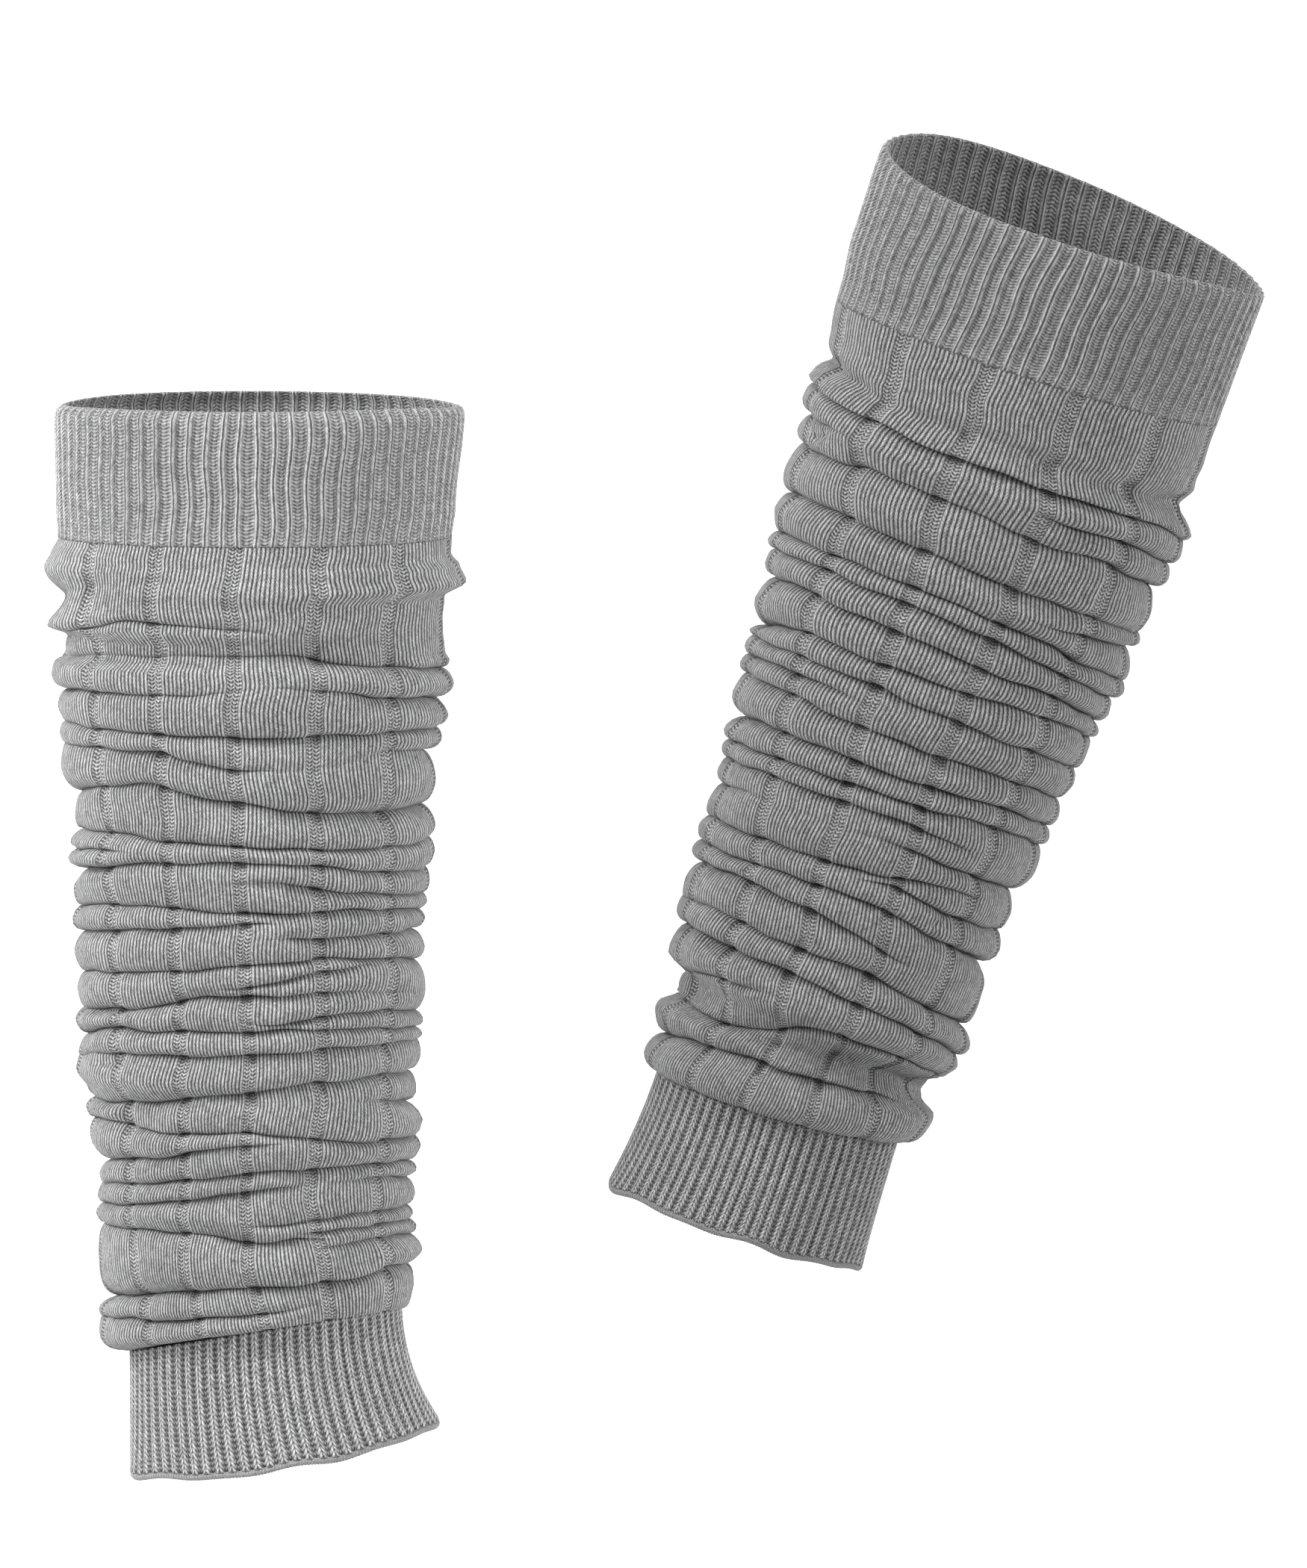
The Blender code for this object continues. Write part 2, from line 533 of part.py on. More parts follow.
def make_leg(warmer, parent):
    levels = all_levels(warmer)
    plan = ring_plan(levels)
    turns, grooves = ladder_turns(warmer)
    inner_turns = [warmer.first_ladder + 360.0 * step / INNER_POINTS for step in range(INNER_POINTS)]
    inner_wall = [WALL] * INNER_POINTS
    tucked_wall = [WALL - TUCK_LIFT / 2.0] * INNER_POINTS

    def fill(work):
        outer = [ring_of(work, leg_ring(warmer, levels, index, share, turns, grooves))
                 for index, share in plan]
        inner = [ring_of(work, leg_ring(warmer, levels, index, share, inner_turns, inner_wall))
                 for index, share in plan[:-1]]
        inner.append(ring_of(work, leg_ring(warmer, levels, len(levels) - 1, 0.0,
                                            inner_turns, tucked_wall, TUCK_LIFT)))
        close_wall(work, outer, inner)

    return new_object(warmer.side + "_leg", fill, parent)


# ---------------------------------------------------------------- the cuffs
def rib_turns():
    """Turns and groove insets of a ribbed outside: a rib, then a groove."""
    return [180.0 * index / RIBS for index in range(2 * RIBS)], [0.0, RIB_HEIGHT] * RIBS


def top_cuff_ring(warmer, up, twist, turns, insets):
    """A ring of the top cuff, up a share of the way from the seam to the rim."""
    points = []
    for turn, inset in zip(turns, insets):
        angle = even_angle(turn + twist * up)
        seam = seam_height(warmer.top_seam, angle) + SEAM_GAP / 2.0
        rim = around(warmer.rim, angle)
        points.append(tube_point(warmer, angle, seam + (rim - seam) * up, inset))
    return points


def plain_turns():
    """Turns and insets of a cuff's plain inside: one point behind each rib."""
    return [360.0 * index / RIBS for index in range(RIBS)], [WALL] * RIBS


def make_top_cuff(warmer, parent):
    ribbed, plain = rib_turns(), plain_turns()

    def ring(work, up, turns, insets):
        return ring_of(work, top_cuff_ring(warmer, up, warmer.rib_twist, turns, insets))

    def fill(work):
        outer = [ring(work, up, *ribbed) for up in (1.0, 0.0)]
        inner = [ring(work, up, *plain) for up in (1.0, 0.0)]
        close_wall(work, outer, inner)

    return new_object(warmer.side + "_top_cuff", fill, parent)


def make_ankle_cuff(warmer, parent):
    ribbed, plain = rib_turns(), plain_turns()

    def ring(work, down, turns, insets):
        return ring_of(work, [ankle_point(warmer, even_angle(turn), down, inset)
                              for turn, inset in zip(turns, insets)])

    def fill(work):
        outer = [ring(work, down, *ribbed) for down in (0.0, 0.5, 1.0)]
        inner = [ring(work, down, *plain) for down in (0.0, 0.5, 1.0)]
        close_wall(work, outer, inner)

    return new_object(warmer.side + "_ankle_cuff", fill, parent)


def make_hem_edge(warmer, parent):
    lowest = warmer.ankle[-1]
    turns = [360.0 * step / HEM_POINTS for step in range(HEM_POINTS)]

    def ring(work, drop, inset):
        points = []
        for turn in turns:
            wave = HEM_WAVE * sin(radians(HEM_WAVES * turn))
            x, y = ankle_oval(lowest.left, lowest.right, even_angle(turn), inset - wave)
            foot = hem_height(warmer, lowest.left, lowest.right, x)
            points.append(bowed(warmer, x, y, foot - drop))
        return ring_of(work, points)

    def fill(work):
        top, foot = SEAM_GAP, SEAM_GAP + HEM_HEIGHT
        outer = [ring(work, drop, HEM_INSET) for drop in (top, foot)]
        inner = [ring(work, drop, HEM_INSET + HEM_THICKNESS) for drop in (top, foot)]
        close_wall(work, outer, inner)

    return new_object(warmer.side + "_hem_edge", fill, parent)


# ---------------------------------------------------------------- the pair
def clear_scene():
    for item in list(bpy.data.objects):
        bpy.data.objects.remove(item, do_unlink=True)


def make_warmer(warmer):
    parent = bpy.data.objects.new(warmer.side + "_warmer", None)
    parent.location = [length * MM for length in warmer.place]
    parent.rotation_euler = (0.0, radians(warmer.lean), 0.0)
    bpy.data.collections[COLLECTION].objects.link(parent)
    make_top_cuff(warmer, parent)
    make_leg(warmer, parent)
    make_ankle_cuff(warmer, parent)
    make_hem_edge(warmer, parent)


def main():
    clear_scene()
    collection = bpy.data.collections.new(COLLECTION)
    bpy.context.scene.collection.children.link(collection)
    for warmer in (LEFT_WARMER, RIGHT_WARMER):
        make_warmer(warmer)


main()
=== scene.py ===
"""The looks of a pair of slouched rib-knit leg warmers.

Every CAD solid is replaced by a knitted shell of the same outline, with an inside,
finer folds and the wales, ladders and ribs of the knit. The shells' grids follow
the knit: a column of points runs along a wale and a ring along a course.

Lengths are millimetres until a mesh is written, angles are degrees. Angle 0 is the
front of a tube and +90 its right-hand side.
"""
from collections import namedtuple
from math import pi, radians

import bpy
import numpy as np
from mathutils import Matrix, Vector


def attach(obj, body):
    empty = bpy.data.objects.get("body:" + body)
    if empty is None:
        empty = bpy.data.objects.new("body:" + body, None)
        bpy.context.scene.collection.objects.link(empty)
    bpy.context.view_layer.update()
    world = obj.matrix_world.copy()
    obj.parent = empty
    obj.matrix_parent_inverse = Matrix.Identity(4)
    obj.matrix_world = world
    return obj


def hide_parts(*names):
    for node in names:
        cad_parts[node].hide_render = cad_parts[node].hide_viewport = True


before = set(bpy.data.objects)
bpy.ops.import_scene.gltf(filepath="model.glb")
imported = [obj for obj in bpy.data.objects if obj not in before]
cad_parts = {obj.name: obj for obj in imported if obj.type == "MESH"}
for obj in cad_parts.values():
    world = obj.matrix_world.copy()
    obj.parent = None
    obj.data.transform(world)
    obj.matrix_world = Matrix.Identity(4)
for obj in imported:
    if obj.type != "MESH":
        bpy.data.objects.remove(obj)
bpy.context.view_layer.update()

MM = 0.001

# ---------------------------------------------------------------- the knit
WALL = 2.0  # cloth thickness of the shells
RIBS = 66  # ribs round each cuff
OVALNESS = 0.11  # (width - depth) / (width + depth), for spacing wales evenly
LADDERS = 12  # sunken ladders down each leg
LADDER_DEPTH = 0.62
PANEL_WALES = 8  # raised wales between two ladders
LADDER_WALES = 2
STITCH_RELIEF = 0.52  # how far the bump lifts a strand over the gap beside it

# ---------------------------------------------------------------- the folds
CUSP_POWER = 1.8  # 2 is a round roll, more is a fuller one
SOFT_SPREAD = 8.0  # a fold that spreads this far is a soft hollow
BLEND_POWER = 4.0  # how sharply one fold's side gives way to the next one's
ROLL_SHARE = 0.6  # a roll's side runs this far toward its other crease
LEAST_REACH, MOST_REACH = 2.6, 1.6  # in mm, and as a share of the fold's spread
REAL_DEPTH = 1.0  # a crease shallower than this doesn't bound a roll
REACH_SMOOTHING = 20  # chart steps either way
LEAST_ROLL = 1.5  # two creases come no closer than this
DEPTH_GAIN, GAIN_FALL = 1.45, 0.04  # creases are this much deeper than they look, less per mm
SAG = 0.15  # a roll hangs by this share of its height over the crease below
SAG_HEIGHT = 12.0  # rolls taller than this hang no further
SAG_POWER = 1.6  # and hangs most this far toward its foot
PIT_DEPTH = 1.2  # ladders sink this much further where a crease crosses them
PIT_FULL = 3.0  # where the crease draws in this far
FULL_SAG_DEPTH = 3.0  # a roll hangs fully over a crease this deep
ANKLE_SPREAD = 7.5
EDGE_SINE = 0.985  # a reading nearer the outline than this is taken to lie here
TUCK_SHARPNESS = 0.3  # a short fold fades over this share of its length at each end
ARC_PER_DEGREE = 55.0 * pi / 180.0  # mm along the cloth, on a mean radius

# ---------------------------------------------------------------- the grids
RING_PITCH = 0.80  # mean height between two rings of a leg's outside
LEAST_RINGS = 7  # on any one roll
CHART_STEP = 0.5  # degrees between two readings of a crease's height
NEAR = 6  # courses are counted over this many columns either way
SLACK_DEPTH = 1.8  # creases deeper than this, or twice it, take up the courses' slack
TURN_PASSES = 2  # a point's turn and height settle in this many
INNER_RINGS = 4  # on each roll's inside

DEPTH_SHARE_TOP = 0.80  # depth over width of a section at the calf
DEPTH_SHARE_HEM = 0.86  # and at the hem
FULL_HEIGHT = 330.0

# The rim and the ankle tuck are given at eight stations round the tube:
# left, front left, front, front right, right, back right, back and back left.
FIRST_STATION = -90.0
STATION_STEP = 45.0
FRONT_SHARE = (0.0, 0.7, 1.0, 0.7, 0.0, -0.55, -0.6, -0.55)  # how far forward each station is
BACK_ANGLES = (135.0, 180.0, 225.0)

Fold = namedtuple("Fold", "spread front back")
Level = namedtuple("Level", "heights depths spread")
Seam = namedtuple("Seam", "left front right")
Tuck = namedtuple("Tuck", "depth width soft points")
Warmer = namedtuple("Warmer", "side place lean bow rise lift spine outline folds top_seam rim "
                              "ankle_seam ankle_tuck ankle hem rib_twist tucks ladders yarn")
# A strand's pale tone, and the dark tone painted into the gaps between strands as shade.
Yarn = namedtuple("Yarn", "light dark")
# A slow wave's size, its radians to a degree or a step round, and to a step along, and its start.
Wave = namedtuple("Wave", "size round along start", defaults=(0.0, 0.0))
Noise = namedtuple("Noise", "scale detail roughness tone")

DEGREE = pi / 180.0
# In a crease's height, along the charts, and in its depth, as a share.
CREASE_WAVES = (Wave(0.22, 11.0 * DEGREE, 137.0 * DEGREE), Wave(0.132, 19.0 * DEGREE, 71.0 * DEGREE))
DEPTH_WAVES = (Wave(0.14, 13.0 * DEGREE, 97.0 * DEGREE),)
# Degrees that the wales lean to and fro, from roll to roll.
SWAY_WAVES = (Wave(0.2, 1.0 / 23.0, 1.0 / 1.7), Wave(0.4, -1.0 / 31.0, 1.0 / 3.0),
              Wave(0.4, 1.0 / 41.0, 1.0 / 6.5))
# Swells of the cloth, so no roll is quite regular.
SWELL_WAVES = (Wave(0.30, 5.0 * DEGREE, 1.0 / 9.0), Wave(0.20, 3.0 * DEGREE, -1.0 / 5.3))
# Ribs stand out of place by these shares of their pitch, and wave by these degrees up the cuff.
RIB_STRAYS = (Wave(0.035, 2.4), Wave(0.035, 1.1, 0.0, 2.0))
RIB_WAVES = (Wave(0.28, 1.0 / 9.0, 6.0), Wave(0.28, -1.0 / 23.0, 11.0))
# How far the ankle cuff's foot strays out, and up.
HEM_OUT_WAVES = (Wave(0.5, 9.0 * DEGREE), Wave(0.35, 4.0 * DEGREE, 0.0, 50.0 * DEGREE))
HEM_LIFT_WAVES = (Wave(0.45, 7.0 * DEGREE, 0.0, 60.0 * DEGREE), Wave(0.35, 11.0 * DEGREE))

# Crests of the rolls, as (height, left, right): the outline's edges at each height.
LEFT_OUTLINE = (
    (333, -65.2, 56.2), (328.5, -67.9, 58.2), (300, -67.5, 55.5), (290.5, -67, 54.3), (285, -69, 54.2),
    (281.5, -70.8, 57), (276.5, -71, 59.2), (272, -71.4, 52.6), (264, -71.8, 51), (260.7, -65.6, 51),
    (255.5, -65, 51.8), (251.7, -69.2, 54.4), (246, -69.4, 54.8), (235.5, -67, 53), (222, -66.3, 50),
    (204, -62.5, 48.7), (192, -65, 48.5), (182, -62.5, 47.3), (172, -63, 46), (150, -61.5, 46),
    (141.5, -62.5, 45), (132, -61.8, 44.3), (126, -62.2, 43.6), (120, -58.8, 43.5), (109, -58.5, 45.5),
    (94, -55.3, 43), (80, -56.2, 42), (70, -55.4, 44.8), (57, -54.6, 42.5), (46, -55, 42.5),
    (30, -54, 42.5),
)
# A fold is read along the front from the left edge to the right, as (x, height, depth), and
# at the back right, back and back left, as (height, depth). It spreads so far up and down.
LEFT_FOLDS = (
    Fold(10, ((-71, 272, 6.4), (-64, 274.2, 2.6), (-45, 276, 1.3), (0, 277, 0.9), (40, 275, 1.1),
        (53, 272, 0.5)), ((274, 2), (276, 2.5), (272, 4))),
    Fold(5, ((-70, 259.8, 1), (-62, 261.3, 1.8), (-53, 263.5, 2.2), (-45, 264.8, 2.2), (-35, 264.3, 2.3),
        (-25, 263.5, 2), (-15, 262.5, 1.5), (-5, 261.5, 0.9), (8, 260, 0.2), (20, 259, 0), (52, 259, 0)),
        ((259, 0), (260, 0.6), (261, 3))),
    Fold(6, ((-68, 253.6, 1.2), (-55, 254.2, 1.1), (-35, 254, 1.1), (-10, 254, 1.5), (0, 254.4, 2.4),
        (20, 252, 4), (35, 250.5, 4.8), (52, 250, 3.4)), ((252, 3), (254, 3), (255, 4))),
    Fold(6, ((-68, 244, 5.6), (-50, 242.8, 3.2), (-35, 242, 2.4), (-15, 243, 0.8), (0, 244.3, 0.3),
        (15, 244, 1.8), (25, 242.5, 3.6), (35, 241, 5), (53, 241, 5.8)), ((242, 3.5), (241, 3),
        (242, 3.5))),
    Fold(5, ((-67, 233.8, 1.7), (-50, 231, 3), (-35, 230, 3.6), (-20, 229, 4), (0, 228.5, 4.8),
        (20, 229.5, 4), (40, 230.5, 3.4), (51, 232, 3.2)), ((231, 3.5), (229, 4), (231.5, 2.5))),
    Fold(6, ((-67, 227, 1.5), (-45, 225, 2.8), (-35, 224.5, 3.4), (-28, 222, 3.4), (-20, 220.5, 3),
        (-10, 219, 2.2), (2, 218.5, 0.8), (20, 220.5, 0.2), (38, 225, 1.4), (49, 225, 4.8)), ((221, 3),
        (219, 2.5), (223.5, 3))),
    Fold(6, ((-65, 211.8, 5.8), (-50, 214, 2.6), (-38, 214.5, 3.2), (-30, 212.5, 3.8), (-20, 210, 3.8),
        (-10, 208.5, 4.2), (0, 207, 4.4), (10, 205.5, 4.8), (20, 205, 4.8), (35, 205.5, 4.8),
        (49, 208.3, 5.2)), ((209, 4), (209, 4.5), (210.5, 3.5))),
    Fold(5, ((-62, 200.5, 3), (-50, 199, 3.2), (-33, 196.5, 3.6), (-20, 195.5, 3.6), (0, 194.5, 3.8),
        (15, 194, 3.6), (30, 194.3, 3.2), (40, 195, 2.4), (48, 198, 2)), ((198.5, 2.5), (197, 3.5),
        (199.5, 4))),
    Fold(3.5, ((-62, 194.3, 4), (-53, 194, 2), (-44, 193.5, 0.3), (-20, 192.5, 0), (0, 191.8, 0),
        (48, 193, 0)), ((194, 0), (192, 0.5), (193.5, 2.4))),
    Fold(6, ((-63, 188, 7.8), (-50, 189, 4.6), (-40, 190, 3.6), (-10, 190, 3.2), (10, 189.4, 3),
        (20, 188.5, 3.6), (30, 187.5, 3.6), (38, 187, 3.2), (48, 188.5, 2.7)), ((190.5, 4), (188, 4.5),
        (186.5, 5))),
    Fold(4, ((-62, 182.5, 0), (-20, 184, 0.3), (0, 184, 1.2), (10, 182.6, 2.6), (15, 182, 3.8),
        (25, 180.8, 3.2), (38, 180, 2.8), (47, 180.5, 1.8)), ((182, 3), (180, 1.5), (180.5, 0.5))),
    Fold(5, ((-62, 176.5, 3.2), (-50, 177, 3), (-32, 176, 3.4), (-15, 174.5, 4), (-5, 174, 4.8),
        (10, 174.5, 3.8), (25, 175.5, 3.6), (46, 175.5, 2.8)), ((174, 3), (173.5, 3.5), (175, 3))),
    Fold(5, ((-62, 168.8, 4.2), (-50, 169, 3.6), (-35, 169.8, 3.2), (-20, 170.2, 3), (-10, 171, 2.6),
        (-3, 171.8, 1.4), (6, 171.5, 0.1), (25, 171.5, 0), (45, 172.3, 0)), ((170.5, 0.3), (169.5, 1),
        (168.5, 2.6))),
    Fold(5, ((-62, 163.5, 0), (-20, 165, 0), (2, 166.3, 0.5), (8, 166.5, 2.8), (13, 166.5, 3.4),
        (20, 166.8, 3.2), (30, 167.3, 3.2), (36, 168, 3.4), (45, 169.5, 4.4)), ((167, 3), (165, 2.5),
        (164.5, 1))),
    Fold(5, ((-62, 156.5, 2.9), (-45, 156, 3.2), (-30, 156.5, 3.2), (-10, 158, 3.4), (0, 158.7, 3.4),
        (20, 160.3, 3.2), (30, 160.3, 3.2), (46, 160, 3.8)), ((158, 4), (156.5, 3), (155, 3.5))),
    Fold(4, ((-62, 151, 0), (-30, 151.5, 0), (-18, 150.8, 0.6), (-10, 151.4, 2.2), (0, 152.7, 3),
        (10, 155, 3.4), (20, 157, 2.8), (30, 158.5, 1.4), (38, 157, 0), (46, 155, 0)), ((153.5, 0.4),
        (152, 0.8), (151, 0.4))),
    Fold(5, ((-61, 145, 2.6), (-50, 144.5, 3.6), (-40, 145, 3.2), (-32, 146.5, 3.8), (-25, 148, 4.6),
        (-20, 148.8, 5.4), (-10, 148.5, 4.6), (0, 148.5, 3.8), (10, 149.5, 3), (17, 150, 2.4),
        (35, 150, 1), (46, 149.5, 0)), ((149, 2), (147.5, 3.5), (146, 3))),
    Fold(4, ((-61, 141.8, 0), (-30, 142, 0), (-12, 141, 0.2), (-4, 140, 1.6), (3, 140.2, 3.4),
        (10, 141, 3.8), (15, 142, 3.8), (25, 143.5, 3.4), (35, 144, 3.2), (45, 144, 3.2)), ((143.5, 2),
        (143, 1.2), (142, 0.4))),
    Fold(5, ((-62, 136.7, 3.8), (-50, 138.8, 4.6), (-38, 137.8, 3.8), (-20, 137.5, 3.8), (-8, 137.5, 4.8),
        (0, 138, 4.4), (10, 138.4, 2.8), (20, 138.6, 2.6), (37, 138.6, 2.6), (45, 139, 2.2)), ((138, 3.5),
        (138, 3), (136, 3))),
    Fold(5, ((-61, 130, 0.6), (-47, 131, 2.6), (-40, 130.5, 3.2), (-20, 130, 3.2), (0, 130.7, 3.2),
        (15, 132.2, 3.2), (30, 133.2, 3), (44, 135, 1.4)), ((131, 2.5), (129.5, 3), (129, 2))),
    Fold(5, ((-59, 117.5, 3.2), (-52, 115.6, 2.8), (-38, 115.5, 3), (-27, 117, 4), (-20, 117.3, 3.2),
        (-7, 118.5, 4), (0, 119.8, 3.4), (10, 121.2, 3.4), (20, 122.2, 3.6), (35, 124, 3.6),
        (44, 125.5, 3.2)), ((122, 3.5), (119, 3), (117, 3))),
    Fold(4, ((-58, 114, 0), (-20, 112, 0), (15, 114, 0), (28, 115.5, 0.4), (33, 116.5, 1.4),
        (38, 116, 2.8), (45, 116, 4.2)), ((115, 2.4), (113.5, 0.6), (113, 0))),
    Fold(5, ((-58, 111, 2.8), (-50, 109.5, 2.8), (-45, 108, 3), (-35, 106, 3.4), (-10, 106, 3.4),
        (0, 105.5, 3.2), (15, 104, 3.4), (25, 103, 3.6), (35, 103.5, 3.8), (45, 105.5, 3.8)), ((108, 3.5),
        (108, 3), (109.5, 2.5))),
    Fold(5, ((-56, 97.7, 4.6), (-40, 98, 3.6), (-30, 99.2, 3.6), (-27, 99.8, 4.2), (-20, 101, 3.2),
        (-10, 102.3, 2.2), (0, 103, 1), (8, 101.8, 0), (25, 100.3, 0), (44, 101.5, 0)), ((100, 1.2),
        (97.5, 2.5), (96.5, 3.5))),
    Fold(5, ((-55, 90.5, 1.2), (-45, 90.2, 2.8), (-30, 91, 3.2), (-20, 92, 3.2), (-10, 93, 3.2),
        (0, 94, 3.4), (10, 94.5, 3.4), (20, 95.2, 3.2), (30, 96.2, 3.2), (43, 97.5, 3)), ((94, 3),
        (91.5, 2.5), (90, 2.5))),
    Fold(4.5, ((-55, 84.3, 2), (-45, 83.7, 2.8), (-30, 85, 3.2), (-20, 86, 3.2), (-10, 87.3, 4),
        (0, 89, 2.2), (10, 90, 0.6), (20, 91, 0.6), (30, 92, 1.8), (43, 92.5, 3.8)), ((89, 2.5), (86, 3),
        (84.5, 2.5))),
    Fold(4, ((-55, 81.7, 0), (-25, 79.5, 0), (-10, 76.8, 0.5), (0, 77, 1.8), (10, 78.4, 2.6),
        (20, 80, 3.2), (30, 81, 3.2), (43, 83.5, 2.4)), ((83, 1.5), (82, 0.4), (81.8, 0))),
    Fold(3.5, ((-55, 79.8, 0), (-25, 77, 0), (-10, 74.3, 0), (5, 74.9, 0.2), (14, 75.2, 1.8),
        (20, 75.8, 2.6), (30, 77, 2.6), (43, 79, 2.4)), ((79.5, 1.5), (79.5, 0.2), (79.8, 0))),
    Fold(5, ((-55, 78, 2), (-45, 76, 3), (-30, 75, 3.4), (-20, 74, 3.8), (-10, 71.8, 5.2),
        (-5, 71.8, 5.2), (0, 72, 4.6), (5, 72.7, 3.6), (10, 73.2, 2.2), (16, 73.1, 0.6), (28, 74.3, 0),
        (43, 76.6, 0)), ((76.5, 1.5), (75, 4), (76, 3))),
    Fold(3.5, ((-55, 74, 0), (-10, 69.3, 0), (0, 69.5, 0), (14, 70.2, 0.3), (20, 71, 2), (28, 72.2, 2.8),
        (35, 73.5, 3), (44, 74.5, 3.4)), ((73.5, 2.4), (72, 0.5), (72.5, 0))),
    Fold(6, ((-54, 55, 6.2), (-45, 55.3, 4.8), (-30, 56.5, 4.4), (0, 57.8, 4.4), (10, 58.5, 4.4),
        (25, 60.5, 4.4), (35, 63.5, 4.4), (44, 66, 4.2)), ((63, 4.5), (59, 5), (57.5, 5.5))),
    Fold(4, ((-55, 48.5, 0.8), (-48, 48.5, 2.8), (-40, 47.3, 3.6), (-30, 47.7, 3.6), (-20, 48.3, 3.4),
        (-10, 49.2, 3), (0, 50, 2), (10, 52, 0.6), (25, 55, 0), (43, 57.5, 0)), ((56, 0), (53.5, 0.6),
        (49.5, 1.2))),
)
# The ankle cuff's left and right edges at its seam, half way down and at its foot.
LEFT_ANKLE = ((-46.0, 38.5), (-46.0, 41.5), (-46.0, 49.2))

RIGHT_OUTLINE = (
    (335, -64.1, 57.9), (327, -64.6, 60.9), (303, -64.2, 60.6), (285.5, -62.6, 60.3), (270, -60.4, 60),
    (265, -61.2, 59.2), (260.5, -64.4, 59.6), (254.5, -63.4, 62.6), (249.5, -62.4, 64.6),
    (241.5, -60.8, 63), (233, -60.3, 61.8), (224, -60.2, 60.6), (216, -59.2, 60.2), (205, -58.6, 59),
    (195.5, -57.2, 59.8), (187, -56.4, 58), (179, -54.8, 57.2), (171, -54.4, 55.7), (158, -53.5, 54.4),
    (145, -52.5, 53.1), (132, -50.4, 52), (121, -49.4, 50), (108, -49.6, 50.5), (93, -48.8, 48.8),
    (73, -46.6, 51.2), (68.4, -40.8, 49.6), (63.5, -40, 47.4), (61, -41.5, 42.6), (57.5, -44.3, 42),
    (55, -44.3, 43), (51, -44, 48), (42, -43.6, 48), (30, -43.6, 48),
)
